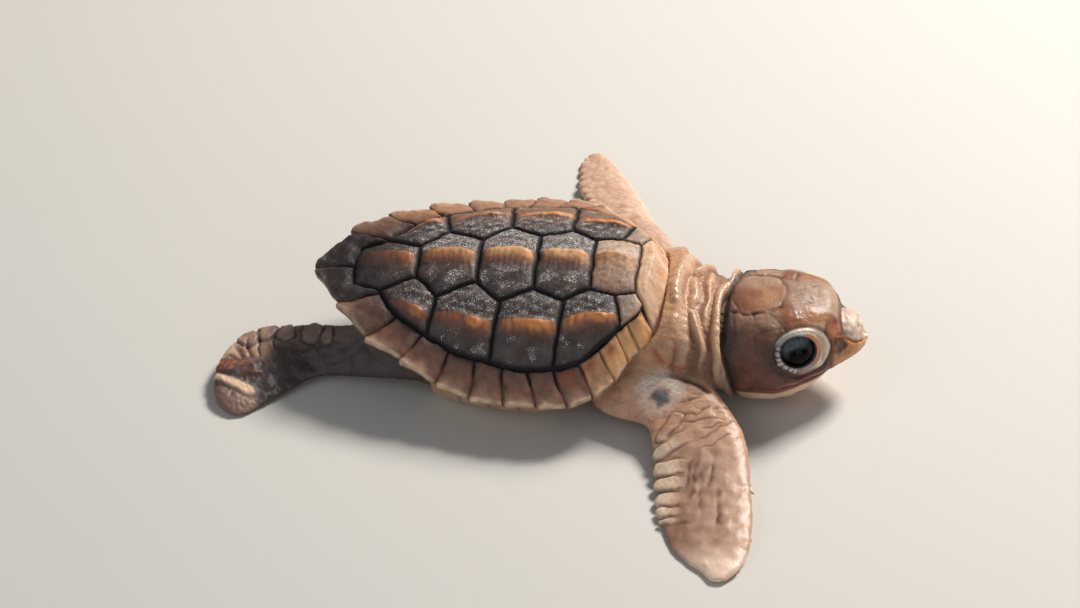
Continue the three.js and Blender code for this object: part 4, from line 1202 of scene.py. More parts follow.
def plate_border(points, plates):
    """How far each point is from the border of the plate it lies on."""
    plates = np.array(plates)
    power = ((points[:, None] - plates[None, :, :3]) ** 2).sum(2) - plates[:, 3] ** 2
    order = np.argsort(power, axis=1)[:, :2]
    first, second = order.T
    each = np.arange(len(points))
    apart = np.linalg.norm(plates[first, :3] - plates[second, :3], axis=1)
    return (power[each, second] - power[each, first]) / (2 * apart)


# ---- Head ---------------------------------------------------------------------------------------
# Large scales of one side: x, y and z of the middle, and size.
CHEEK_PLATES = [
    [2.0, 7.0, 4.2, 1.2], [5.2, 7.2, 4.6, 1.2], [3.6, 8.4, 1.6, 1.6], [0.6, 7.8, 1.4, 1.3],
    [5.4, 8.7, -0.9, 1.2], [1.8, 8.2, -1.4, 1.5], [8.4, 8.2, -1.4, 1.0], [10.8, 7.1, -1.2, 0.9],
    [-1.2, 7.0, 1.6, 0.9], [-1.4, 6.9, -1.6, 1.0], [8.0, 6.6, -4.6, 1.7], [3.4, 7.2, -4.6, 1.7],
    [12.0, 4.9, -4.2, 1.2], [-0.6, 6.6, -4.6, 1.3], [1.6, 4.6, 5.9, 1.0], [4.6, 5.2, 5.9, 0.9],
    [7.6, 4.2, 6.5, 1.3], [10.6, 3.9, 6.2, 1.4], [4.0, 0.0, 7.0, 3.4], [9.6, 0.0, 7.0, 1.6],
    [14.2, 4.0, 1.6, 1.0],
]
DARK_SEAM = [
    (0.0, 3.2, 6.0), (1.5, 3.7, 6.2), (2.4, 4.1, 6.3), (3.6, 3.8, 6.5), (4.7, 3.75, 6.6), (5.8, 3.4, 6.7),
    (6.9, 2.8, 6.8),
]
HEAD_SEAMS = [
    [(6.3, 3.1, 6.8), (8.3, 2.5, 6.8), (9.6, 2.1, 6.8), (10.6, 1.8, 6.7), (11.8, 1.9, 6.3), (13.4, 1.9, 5.4)],
    [(6.6, 3.0, 6.8), (7.0, 0.9, 7.0), (7.25, -0.3, 7.0)],
    [(7.2, -0.3, 7.0), (8.4, 0.3, 7.0), (10.2, 0.9, 6.8), (10.7, 1.8, 6.7)],
    [(8.4, 2.4, 6.8), (8.7, 3.9, 6.5), (8.95, 5.1, 5.9), (9.5, 5.8, 5.4)],
    [(3.9, 3.7, 6.6), (5.8, 4.6, 6.4), (6.5, 5.3, 6.0), (7.1, 6.0, 5.6), (7.3, 6.6, 5.0)],
    [(3.1, 3.7, 6.5), (3.1, 5.4, 5.8), (3.2, 7.0, 4.7), (3.5, 8.0, 3.0)],
    [(0.6, 3.4, 6.1), (0.6, 5.6, 5.2), (0.7, 6.8, 4.3), (1.0, 7.6, 2.6)],
    [(13.2, 2.0, 5.4), (12.3, 4.4, 5.0), (12.5, 5.3, 3.9), (12.7, 5.6, 2.9)],
    [(13.3, 2.2, 5.3), (14.4, 2.3, 3.9), (14.6, 3.3, 2.9), (13.8, 4.0, 3.2), (12.8, 5.3, 3.1)],
    [(1.3, 3.6, 6.2), (0.5, 1.8, 6.4), (0.3, -0.3, 6.4)],
    [(13.9, -0.2, 5.0), (13.9, 1.2, 4.9), (14.4, 2.3, 3.9)],
]
# A painted highlight runs along this line on the brow ridge, on both sides of the head.
BROW_HIGHLIGHT_LINE = [(9.6, -5.6, 5.3), (11.0, -5.0, 5.2), (12.4, -4.0, 5.0)]
# x and z of the line of the mouth.
MOUTH_LINE = [
    (3.2, -2.5), (6.6, -2.4), (8.2, -1.9), (9.8, -1.5), (12.2, -1.1), (13.6, -0.9), (14.8, -0.9), (16.2, -1.0),
    (19.5, -1.1),
]
BEAK_REAR, BEAK_TOP = 13.4, (13.8, 3.1)
BEAK_SLOPE, BEAK_THICK = -0.7, 0.45


def mouth_height(x):
    xs, zs = np.array(MOUTH_LINE).T
    return np.interp(x, xs, zs)


def both_sides(points, paths, width, ends=0.15):
    """Lines on one side of the head and the same lines on the other."""
    return lines(points, [*paths, *(mirrored(path) for path in paths)], width, ends)


def above_beak(x, z):
    return z - BEAK_TOP[1] - BEAK_SLOPE * (x - BEAK_TOP[0])


def in_beak(h):
    """1 where the horny beak covers the jaws, 0 elsewhere."""
    return smooth(-0.1, 0.3, np.minimum(h[:, 0] - BEAK_REAR, -above_beak(h[:, 0], h[:, 2])))


NOSTRIL_AT, NOSTRIL_SIZE = (16.5, 0.95, 2.25), (1, 0.7, 1.5)
NOSE_PAD_AT, NOSE_PAD_SIZE = (15.9, 0, 2.0), (2.1, 2.9, 2.3)


def nostril_distance(h):
    return np.linalg.norm((np.abs(h) - NOSTRIL_AT) / NOSTRIL_SIZE, axis=1)


# The eye's opening and the lids' outer border are ovals: half length and half height in eye's sight.
OPENING, OPENING_UP = (2.28, 1.97), 0.48
LID_BORDER, LID_FORWARD, LID_UP = (3.95, 3.2), 0.5, 0.05
BEAD_START, BEAD_DEGREES = 160, 15.2


def lid_places(a, b):
    """Share across the lids, 0 at the eye's opening and 1 at their outer border; and the direction."""
    inner = np.hypot(a / OPENING[0], (b - OPENING_UP) / OPENING[1])
    outer = np.hypot((a - LID_FORWARD) / LID_BORDER[0], (b - LID_UP) / LID_BORDER[1])
    across = (inner - 1) / (np.abs(inner - 1) + np.maximum(1 - outer, 0) + 1e-6)
    across = np.where(outer >= 1, outer, across)
    return inner, across, np.degrees(np.arctan2(b - OPENING_UP, a)) % 360


def bead_share(across, angle):
    """The small pale scales behind and below the eye: 1 on a scale, 0 between."""
    place = (angle - BEAD_START) / BEAD_DEGREES + 0.12 * np.sin(np.radians(angle) * 7)
    number = np.floor(place)
    middle = np.abs(place - number - 0.5) * 2 / 0.9
    length = 0.38 + 0.06 * np.sin(number * 2.3 + 0.6)
    away = (middle**3 + np.abs((across - 0.4 + 0.05 * np.sin(number * 1.7)) / length) ** 3) ** (1 / 3)
    return smooth(-0.1, 0.6, place) * smooth(7.8, 6.6, place) * smooth(1.04, 0.72, away)


def sculpt_head(points, normals, own):
    """Plates, mouth, snout, nostrils and lids; own is how much of the head each corner has."""
    h = to_head(points)
    x, y, z = h.T
    wander = drifts(h, 2.2, 201, 202, 203)
    seen = h + wander * 0.1
    dark = both_sides(seen, [DARK_SEAM], 0.2, 0.06)
    seam = both_sides(seen, HEAD_SEAMS, 0.16, 0.05)
    border = plate_border(h + wander * 0.3, [*CHEEK_PLATES, *mirrored(p for p in CHEEK_PLATES if p[1])])
    sights = [eye_sight(h, sign) for sign in (1, -1)]
    outer = np.minimum(*[np.where(c > -1, lid_places(a, b)[1], FAR) for a, b, c in sights])
    free = smooth(0.9, 1.15, outer) * own
    cheek = smooth(6.2, 5.4, z) * smooth(-2.5, -1.5, z)
    faint = bump(border, 0, 0.22) * cheek * smooth(12.5, 11, x)
    above_mouth = z - mouth_height(x)
    mouth = bump(above_mouth, 0, 0.16) * smooth(3.2, 4.2, x)
    depth = (-0.13 * seam - 0.26 * dark - 0.05 * faint) * free
    depth += 0.06 * (1 - bump(border, 0, 0.8)) * cheek * free
    depth += (0.05 * drift(h, 2.6, 209) + 0.012 * drift(h, 0.9, 211)) * own
    brow = bump(np.abs(y), 4.4, 1.5) * smooth(6.2, 7.6, x) * smooth(13.6, 12, x) * smooth(4.2, 5.6, z)
    depth += 0.3 * brow * own
    depth -= 0.35 * mouth * own
    depth += 0.14 * bump(above_mouth, 0.55, 0.3) * smooth(4, 6, x) * own
    pad = np.linalg.norm((h - NOSE_PAD_AT) / NOSE_PAD_SIZE, axis=1)
    depth += (0.2 * smooth(1.0, 0.6, pad) - 0.14 * bump(pad, 1.08, 0.14) * smooth(1.5, 2.5, z)) * own
    depth += 0.06 * drift(h, 1.4, 213) * smooth(1.1, 0.9, pad) * own
    depth -= 0.22 * bump(nostril_distance(h), 0, 0.25) * own
    depth -= 0.38 * in_beak(h) * own
    moved = points + normals * depth[:, None]
    h = to_head(moved)
    jaw = smooth(9.5, 12.5, h[:, 0]) * smooth(0.0, -0.7, h[:, 2] - mouth_height(h[:, 0])) * own
    h[:, 1] *= 1 - 0.05 * jaw
    beads, opening, angle_seen = np.zeros(len(h)), np.full(len(h), FAR), np.zeros(len(h))
    for sign in (1, -1):
        a, b, c = eye_sight(h, sign)
        inner, across, angle = lid_places(a, b)
        flat = a * a + b * b
        ball = np.sqrt(np.maximum(EYE_RADIUS**2 - flat, 0))
        lid = np.sqrt(np.maximum(LID_RADIUS**2 - flat, 0.4))
        bead = bead_share(across, angle)
        crest = 0.16 * bead - 0.12 * bump(across, 0.04, 0.05) + 0.1 * smooth(0.3, 0.6, across)
        crest += 0.05 * np.sin(np.radians(angle) * 26) * bump(across, 0.2, 0.15) * (angle > 285)
        edge = smooth(0.62, 1.0, across)
        target = np.where(inner < 1, ball - 0.55, (lid + crest) * (1 - edge) + c * edge)
        fold = -0.22 * bump(across, 1.02, 0.09)
        near = (c > 0.2) & (across < 1.3)
        out = np.where(near, np.where(across < 1, target - c, 0) + fold, 0)
        h = h + (np.array(eye_frame(sign))[:3, 1] * sign) * out[:, None]
        beads = np.where(near, bead, beads)
        opening = np.where(near, inner, opening)
        angle_seen = np.where(near, angle, angle_seen)
    marks = {
        "seam": seam * free, "dark": dark * free, "faint": faint * free, "mouth": mouth, "outer": outer,
        "inner": opening, "beads": beads, "angle": angle_seen, "pad": pad, "brow": brow,
    }
    return from_head(h), marks


def head_tint(h, marks):
    x, y, z = h.T
    side = np.abs(y)
    patch, fine, broad = drift(h, 2.2, 411), drift(h, 0.8, 413), drift(h, 4.5, 415)
    above_mouth = z - mouth_height(x)
    top = smooth(4.2, 6.1, z) * smooth(6.8, 4.8, side)
    big = smooth(-0.4, 0.9, x) * smooth(7.5, 6.6, x + 0.12 * side) * smooth(3.9, 3.2, side) * smooth(5, 6, z)
    above_eye = smooth(6.4, 7.2, x) * smooth(2.3, 2.9, side) * smooth(4.4, 5.2, z) * smooth(13.2, 12.4, x)
    fore = smooth(7.2, 8.0, x) * smooth(3.2, 2.4, side) * smooth(4.4, 5.4, z)
    brow_highlight = both_sides(h, [BROW_HIGHLIGHT_LINE], 0.5)
    temple = smooth(3.6, 4.6, side) * smooth(6.6, 5.8, x) * smooth(1.5, 3.2, z) * smooth(6.6, 5.8, z)
    cheek = smooth(3.4, 1.5, z) * smooth(13, 11, x)
    below = smooth(-0.5, -0.95, above_mouth)
    free = above_beak(x, z)
    pad = smooth(1.08, 0.92, marks["pad"]) * smooth(13.7, 14.2, x) * smooth(-0.2, 0.2, free)
    horn = smooth(BEAK_REAR - 0.2, BEAK_REAR + 0.2, x) * smooth(0.3, -0.1, free)
    colours = layered(
        plain("51352a", len(h)),
        ("684130", 0.5 + 0.5 * patch),
        ("7b6052", 0.3 * smooth(0, 1.2, broad) + 0.12 * fine),
        ("8f6c57", top * (0.9 + 0.1 * patch)),
        ("92603f", big * (0.9 + 0.15 * patch)),
        ("6e4230", big * smooth(3.9, 0.8, x + 0.4 * patch) * 0.9),
        ("a97850", big * 0.7 * bump(x, 5.4, 1.3) * bump(y, -1.4, 1.7)),
        ("7d523c", big * 0.3 * smooth(0.2, 1.2, drift(h, 1.7, 419))),
        # The left half of the crown is painted lighter as if lit from that side.
        ("ab8a72", 0.75 * smooth(-0.4, 2.4, y + 0.3 * patch) * smooth(7.4, 6.2, x) * smooth(5.6, 6.2, z)),
        ("8d5a3e", above_eye * (0.85 + 0.3 * patch)),
        ("9d693f", above_eye * smooth(8.8, 10, x) * 0.8),
        ("9b7b65", fore * (0.75 + 0.3 * patch)),
        ("94796a", fore * 0.5 * smooth(1.2, 0.2, np.hypot(x - 8.3, y - 0.8) / 1.8)),
        ("b89a80", fore * smooth(11.0, 13.4, x) * 0.6),
        # A painted highlight along the brow ridge.
        ("cbb7a1", 0.8 * brow_highlight * (0.7 + 0.4 * fine)),
        ("a9694b", spot(h, (13.3, -3.9, 3.9), 1.6, 1.7, 1.7)),
        ("7d2a20", 0.8 * spot(h, (13.4, -3.1, 4.9), 0.7, 0.8, 0.6)),
        ("7f5a49", 0.2 * temple * (0.7 + 0.4 * patch)),
        ("422b24", 0.4 * cheek * smooth(-1.0, 1.5, z) * (0.8 + 0.3 * broad)),
        ("75432f", 0.45 * cheek * smooth(-0.2, 0.8, drift(h, 2.6, 417) + 0.4 * smooth(1, -2, z))),
        # The head's rear end, under the neck's front fold, is painted dark as the fold's shadow.
        ("3b2a25", 0.7 * smooth(1.6, -0.4, x) * smooth(6.6, 5.6, z)),
        ("b5785a", 0.8 * bump(above_mouth, 0.5, 0.22) * smooth(5.6, 7.5, x) * smooth(13.4, 12.5, x)),
        ("8c4430", 0.6 * bump(above_mouth, -0.3, 0.3) * smooth(4, 5.5, x) * smooth(12, 10, x)),
        ("f0cbb0", 0.95 * below),
        ("9c6f5a", 0.5 * below * smooth(5, 1, x)),
        ("cdb3a2", pad),
        ("a08e80", pad * 0.45 * smooth(0.1, 1.0, drift(h, 1.6, 421))),
        ("e6d6c8", pad * 0.6 * smooth(0.3, 1.1, drift(h, 1.4, 423))),
        ("b5713f", horn),
        # The nostril pit is painted darker as shade.
        ("6f5145", 0.7 * bump(nostril_distance(h), 0, 0.22)),
        ("4b3026", (0.7 + 0.2 * patch) * marks["seam"] + 0.3 * marks["faint"]),
        ("22120e", 0.9 * marks["dark"]),
        ("2e1812", 0.9 * marks["mouth"]),
    )
    lids = smooth(1.03, 0.97, marks["outer"])
    across, angle = np.clip(marks["outer"], 0, 1), marks["angle"]
    upper = bump(angle, 95, 60)
    front = smooth(75, 50, angle) + smooth(295, 325, angle)
    rear = smooth(150, 172, angle) * smooth(300, 270, angle)
    lid = layered(
        plain("94928f", len(h)),
        ("c9beb1", upper * smooth(0.3, 0.7, across) * (0.85 + 0.2 * fine)),
        ("59606e", upper * smooth(0.3, 0.05, across)),
        ("f3dfca", front * smooth(0.55, 0.72, across) * (0.9 + 0.2 * fine)),
        ("a9622f", front * bump(across, 0.36, 0.24) * (0.95 + 0.1 * np.sin(np.radians(angle) * 40))),
        ("4f3f3a", front * smooth(0.2, 0.06, across)),
        ("514a49", rear),
        ("c6bbb1", marks["beads"] * (0.95 + 0.15 * fine)),
        ("3a221a", rear * smooth(0.74, 0.84, across)),
        ("a4847a", bump(angle, 285, 18) * smooth(0.2, 0.6, across)),
        ("191a1f", smooth(1.14, 1.02, marks["inner"])),
    )
    # A dark crescent along the fold round the lids, wider behind the eye, is painted shade.
    lid_fold_shade = 0.8 * rear * bump(marks["outer"], 1.12, 0.15)
    lid_fold_shade = lid_fold_shade + 0.6 * bump(marks["outer"], 1.03, 0.07) * (1 - 0.7 * np.maximum(upper, front))
    return layered(colours, (lid, lids), ("42261c", lid_fold_shade))


# ---- Neck ---------------------------------------------------------------------------------------
# Where the neck's front fold ends on the head: degrees from the top towards the right side, x.
NECK_EDGE = [
    (-180, 31.2), (-60, 30.8), (-32, 30.5), (-15, 29.7), (0, 28.95), (20, 28.95), (40, 29.1), (60, 29.35),
    (80, 29.8), (95, 30.3), (110, 30.9), (135, 31.4), (180, 31.2),
]
NECK_Y, NECK_Z = -2.6, 7.2
# Each fold's height and half width, its x and its strength at degrees from the top.
NECK_FOLDS = [
    (0.85, 1.0, [(0, 22.8), (20, 23.2), (35, 23.7), (53, 24.2), (69, 24.6), (85, 24.2), (110, 23.6), (180, 23.4)],
     [(0, 0.9), (180, 0.5)]),
    (0.6, 0.55, [(0, 25.35), (18, 25.1), (34, 24.9)], [(0, 1), (15, 1), (30, 0)]),
    (0.95, 0.52, [(26, 24.6), (44, 25.7), (56, 26.5), (67, 26.9), (100, 26.9), (180, 26.8)],
     [(24, 0), (32, 1), (66, 1), (84, 0.3), (180, 0.3)]),
    (0.7, 0.45, [(0, 27.15), (23, 26.9), (44, 26.85), (60, 27.2)], [(0, 0.9), (36, 1), (52, 0)]),
]


def neck_edge(points):
    """How far behind the neck's front fold each point lies, and its degrees from the top."""
    turn = np.degrees(np.arctan2(NECK_Y - points[:, 1], points[:, 2] - NECK_Z))
    edges = [np.interp(turn + step, *np.array(NECK_EDGE).T, period=360) for step in (-15, -9, -3, 3, 9, 15)]
    return np.mean(edges, axis=0) - points[:, 0], turn


def sculpt_neck(points, normals, own):
    """Raises the neck's folds; also tells each corner's crest, rear slope, gap to the head and place."""
    behind, turn = neck_edge(points)
    from_top = np.abs(turn)
    around = np.radians(turn)
    ring = stacked(np.sin(around) * 6, np.cos(around) * 6, points[:, 0] * 0.4)
    wobble = 0.13 * drift(ring, 3.0, 221) + 0.05 * drift(ring, 1.2, 223)
    own_x = points[:, 0]
    x, behind = own_x + wobble, behind - wobble * smooth(0.5, 1.5, behind)
    plump = 1 + 0.18 * drift(ring, 2.6, 225)
    front = np.exp(-((np.abs(behind - 0.72) / (0.62 + 0.12 * smooth(30, 60, turn))) ** 3.2))
    rise, crest = 1.05 * front, front.copy()
    rear = bump(behind, 1.45, 0.35)
    for height, width, places, strengths in NECK_FOLDS:
        at = np.interp(from_top, *np.array(places).T)
        much = np.interp(from_top, *np.array(strengths).T) * smooth(1.3, 2.2, behind)
        fold = np.exp(-((np.abs(x - at) / (width * plump)) ** 2.2)) * much
        rise = np.maximum(rise, height * fold)
        crest = np.maximum(crest, fold)
        rear = np.maximum(rear, bump(x - at + width, 0, width * 0.6) * much)
    gap = bump(behind, -0.02, 0.2)
    lower = smooth(78, 105, from_top)
    base = (-0.9 + 0.35 * lower) * smooth(22.6, 24.0, own_x) * smooth(29.9, 29.2, own_x)
    fine = bump(drift(ring * [1, 1, 1.6], 1.7, 227), 0, 0.2)
    rise = rise * (1 - 0.4 * lower) * (1 - 0.5 * smooth(29.2, 29.9, own_x))
    small = (0.04 * drift(ring, 0.9, 229) - 0.06 * fine) * smooth(-0.2, 0.4, behind)
    depth = base + rise - 0.45 * gap + small
    return points + normals * (depth * own)[:, None], crest, rear, gap, from_top


def neck_tint(points, crest, rear, gap, from_top):
    patch, fine = drift(points, 2.4, 431), drift(points, 0.8, 433)
    x = points[:, 0]
    low = smooth(55, 95, from_top)
    top = smooth(60, 25, from_top)
    light = smooth(0.1, 0.85, crest)
    by_shell = smooth(23.6, 22.2, x)
    # The fold crests are painted lighter as lit, and the hollows between folds behind x 24.2 are painted darker as
    # shade.
    colours = layered(
        plain("ad7b5e", len(points)),
        ("86543f", 0.35 + 0.3 * patch),
        ("6e4d41", 0.6 * low),
        ("cf9f7e", top * 0.5),
        ("dfb696", light * (1 - 0.4 * low)),
        ("b59c8e", light * 0.5 * low),
        ("c99560", 0.45 * rear * (1 - light) * (1 - low)),
        ("d9ac85", by_shell * (0.75 + 0.15 * patch) * smooth(110, 85, from_top)),
        ("c98a50", by_shell * 0.5 * smooth(0.2, 1, fine + patch * 0.6) * smooth(110, 85, from_top)),
        ("a34d2c", 0.7 * line(points, REDDISH_FOLD, 0.55)),
        ("6a4a3d", 0.35 * smooth(0.35, 0.0, crest) * smooth(24.2, 25.2, x)),
    )
    # The groove between the neck's front fold and the head is painted dark as shade.
    return layered(colours * 0.86, ("2a1712", 0.85 * gap))


REDDISH_FOLD = [(20.4, -10.6, 10.4), (21.8, -11.9, 9.1), (23.8, -11.9, 7.8), (25.4, -12.2, 7.3)]
SHOULDER_FOLD = [
    (20.0, -11.8, 7.4), (21.0, -12.0, 7.1), (23.2, -12.4, 7.3), (25.5, -12.8, 7.1), (27.3, -13.2, 6.6),
    (28.7, -14.0, 6.1),
]

# ---- Flippers -----------------------------------------------------------------------------------
# Right front flipper, seen from above: creases, wrinkles, and the long scales on its rear edge
# with their half width.
FLIPPER_CREASES = [
    [(27.2, -22.3), (26.9, -24.5), (26.8, -26.7), (26.6, -28.9)],
    [(28.9, -23.4), (28.5, -26.2), (28.5, -29.1), (29.4, -33.4)],
    [(30.4, -25.9), (31.1, -30.2), (31.9, -36.3)],
    [(28.9, -33.4), (26.7, -33.7), (25.0, -34.4)],
    [(27.9, -22.0), (27.6, -25.0), (27.7, -28.0), (27.2, -31.0)],
    [(30.0, -22.9), (29.7, -25.6), (29.9, -28.4)],
]
FLIPPER_WRINKLES = [
    [(24.3, -16.2), (26.4, -15.3), (28.3, -14.1)], [(24.5, -17.5), (26.9, -17.3), (29.3, -15.2)],
    [(24.6, -18.4), (27.8, -17.9), (31.5, -17.1)], [(26.8, -20.9), (28.5, -20.1), (30.5, -18.4), (32.4, -17.1)],
    [(27.0, -22.1), (29.1, -21.3), (30.7, -19.9), (32.6, -18.9)], [(25.6, -14.8), (27.2, -14.4), (28.6, -13.4)],
    [(27.4, -19.2), (29.4, -18.6), (31.0, -17.6)], [(28.4, -16.6), (30.0, -16.0), (31.4, -15.2)],
]
REAR_EDGE_SCALES = [
    ((22.9, -20.0), (24.4, -17.8), 0.85), ((22.9, -22.1), (26.2, -19.9), 0.95), ((23.4, -24.4), (25.9, -24.2), 1.1),
    ((23.7, -26.8), (25.9, -26.8), 1.15), ((24.1, -29.4), (26.0, -29.5), 1.25), ((24.3, -31.6), (25.9, -31.7), 0.85),
    ((24.2, -33.3), (26.2, -33.1), 0.5),
]
# Where the ringed spot lies on the shoulder.
PATCH_AT = (22.1, -15.1)


def sculpt_right_front(points, normals, across, along):
    """Long scales on the rear edge, creases and wrinkles of the right front flipper."""
    top = smooth(-0.15, 0.25, normals[:, 2])
    flat = points[:, :2] + drifts(points[:, :2], 2.2, 305, 307) * 0.12
    scale = np.zeros(len(points))
    nearest = np.full(len(points), FAR)
    for start, end, half_width in REAR_EDGE_SCALES:
        away = path_distance(flat, [start, end])[0] / half_width
        scale = np.maximum(scale, np.sqrt(np.maximum(1 - away**2, 0)))
        nearest = np.minimum(nearest, np.abs(away - 1) * half_width)
    border = bump(nearest, 0, 0.2) * (flat[:, 0] < 27.6) * smooth(-34, -33, flat[:, 1]) * top
    crease = lines(flat, FLIPPER_CREASES, 0.34, 0.3)
    wrinkle = lines(flat, FLIPPER_WRINKLES, 0.15, 0.25)
    low_ridge = drift(flat * [1.0, 0.25], 1.5, 309)
    inner_end = smooth(27.2, 25.0, flat[:, 0])
    root = smooth(0.42, 0.2, along)
    small = bump(drift(flat * [0.45, 1.0], 1.5, 311), 0, 0.2) * root
    depth = 0.14 * smooth(0.0, 0.7, scale) * inner_end - 0.12 * border * inner_end - 0.07 * crease - 0.06 * wrinkle
    depth += 0.02 * low_ridge * smooth(0.3, 0.5, along) * smooth(0.85, 0.7, along) - 0.03 * small
    depth += 0.05 * drift(flat, 3.0, 315)
    moved = points + normals * (depth * top)[:, None]
    edge = smooth(0.3, 0.0, across) * smooth(0.26, 0.36, along) * smooth(0.76, 0.7, along)
    moved[:, 0] += edge * (0.2 - 0.65 * scale)
    tip = smooth(0.7, 0.9, along)
    moved[:, 0] += 0.9 * tip * smooth(0.5, 0.0, across) * smooth(1.0, 0.88, along)
    return moved, {
        "scale": scale * top * inner_end, "border": border * inner_end, "crease": crease * top,
        "wrinkle": (wrinkle + 0.5 * small) * top,
    }


def ring_patch(colours, points, amount):
    """The bluish spot on the shoulder, with a ring of painted glints where the skin is damp."""
    flat = points[:, :2]
    ring = np.linalg.norm((flat - PATCH_AT) / [1.15, 1.0], axis=1)
    ring = ring + 0.2 * drift(flat, 1.8, 471) + 0.05 * drift(flat, 0.6, 473)
    grains = smooth(-0.6, 0.9, drift(flat, 0.45, 475))
    upper = smooth(-1.0, 1.6, points[:, 1] - PATCH_AT[1])
    glint_ring_share = (0.5 + 0.6 * upper) * bump(ring, 1.5 + 0.6 * upper, 0.65 + 0.4 * upper) * (0.4 + 0.6 * grains)
    return layered(
        colours,
        ("e8ddd2", glint_ring_share * amount),
        ("7b7b7e", 0.75 * smooth(1.35, 0.65, ring) * amount),
        ("3f474c", 0.9 * smooth(1.0, 0.25, ring) * amount),
    )


def right_front_tint(points, across, along, marks):
    flat = points[:, :2]
    patch, fine = drift(flat, 2.6, 421), drift(flat, 0.8, 423)
    pale = smooth(0.15, 0.55, marks["scale"])
    by_x = smooth(27.0, 24.6, flat[:, 0])
    colours = layered(
        plain("ae8b76", len(points)),
        ("987462", 0.4 + 0.4 * patch),
        ("c19b84", 0.7 * smooth(0.55, 0.95, across)),
        ("e6c8b2", smooth(0.72, 0.9, along)),
        ("86624f", 0.8 * smooth(0.42, 0.2, across) * smooth(0.3, 0.45, along) * smooth(0.8, 0.7, along)),
        ("cf9f80", 0.7 * smooth(0.42, 0.25, along)),
        ("d3bba1", pale * by_x * smooth(-18.5, -22.5, flat[:, 1]) * (0.9 + 0.2 * fine)),
        ("b9917a", pale * (1 - by_x) * 0.6),
        ("6e4c3d", 0.6 * marks["border"]),
        ("6b4637", 0.9 * marks["crease"] * (0.8 + 0.4 * patch)),
        ("6b432f", 0.7 * marks["wrinkle"]),
        ("c58f5c", 0.35 * bump(across, 0.85, 0.12) * smooth(0.25, 0.9, drift(flat, 2.0, 425))),
    )
    return ring_patch(colours, points, 1)


def cell_borders(flat, seeds):
    """Distance of flat places to the borders of the cells round the seeds."""
    tree = tree_of((*seed, 0) for seed in seeds)
    border = np.empty(len(flat))
    for n, place in enumerate(flat):
        (near, _, d1), (far, _, d2) = tree.find_n((*place, 0), 2)
        border[n] = (d2 * d2 - d1 * d1) / (2 * max((near - far).length, 1e-6))
    return border


def flipper_scales(breadth, length, across_count, along_count, seed):
    """Places of the scales on a flipper: a row of large ones on each edge, small ones between."""
    rng = np.random.default_rng(seed)
    steps = (np.arange(along_count) + 0.5) / along_count
    lead = [(0.93, step) for step in steps]
    trail = [(0.07, step + rng.uniform(-0.2, 0.2) / along_count) for step in steps]
    inner = rng.uniform((0.2, 0), (0.8, 1), (across_count * along_count, 2))
    return np.array([*lead, *trail, *inner]) * [breadth, length]


def sculpt_flipper(points, normals, across, along, rows, seed, counts):
    """Scales and scalloped rear edge of a flipper seen from afar."""
    rows = np.array(rows, float)
    breadth = np.median(np.linalg.norm(rows[:, :3] - rows[:, 3:6], axis=1))
    spine = (rows[:, :3] + rows[:, 3:6]) / 2
    length = np.linalg.norm(np.diff(spine, axis=0), axis=1).sum()
    flat = stacked(across * breadth, along * length)
    flat = flat + drifts(flat, 3, seed + 1, seed + 2) * 0.2
    border = cell_borders(flat, flipper_scales(breadth, length, *counts, seed))
    edge = bump(border, 0, 0.2)
    depth = (0.09 * (1 - bump(border, 0, 0.5)) - 0.1 * edge) * smooth(0.04, 0.25, along)
    depth += smooth(0.12, 0.0, across) * smooth(0.2, 0.35, along) * (0.25 - 0.4 * edge)
    return points + normals * depth[:, None], flat, edge


def left_front_tint(flat, across, along, edge):
    patch = drift(flat, 3.2, 441)
    return layered(
        plain("e0bba2", len(flat)),
        ("c99c7e", 0.35 + 0.35 * patch),
        ("e9cdb8", 0.6 * smooth(0.6, 0.95, across)),
        ("8f6a56", 0.3 * edge + 0.35 * smooth(0.3, 0.05, along)),
    )


def left_rear_tint(flat, across, _, edge):
    return layered(
        plain("6a5a54", len(flat)),
        ("8d7363", 0.4 + 0.4 * drift(flat, 2.6, 443)),
        ("b89a80", 0.6 * smooth(0.6, 0.95, across)),
        ("2a2526", 0.6 * edge),
    )


# Right rear flipper from above: its plates on the front edge (middle and half sizes) and its wrinkles.
REAR_PLATES = [
    ((-24.5, -6.6), 1.35, 1.5), ((-22.4, -7.2), 0.8, 1.2), ((-30.6, -6.3), 1.5, 1.2), ((-28.0, -6.4), 1.2, 1.1),
    ((-33.0, -7.3), 1.3, 1.3),
]
REAR_WRINKLES = [
    [(-31.2, -6.6), (-31.4, -8.6), (-30.6, -10.6)], [(-32.9, -7.4), (-32.6, -9.2), (-31.8, -10.8)],
    [(-34.7, -8.7), (-33.6, -9.6), (-32.8, -10.9)], [(-35.8, -10.6), (-34.4, -10.7), (-33.2, -11.1)],
    [(-29.4, -6.2), (-29.6, -8.0), (-28.9, -9.4)],
]
REAR_WEDGE = [(-36.2, -13.9), (-33.6, -14.9), (-31.4, -15.7)]


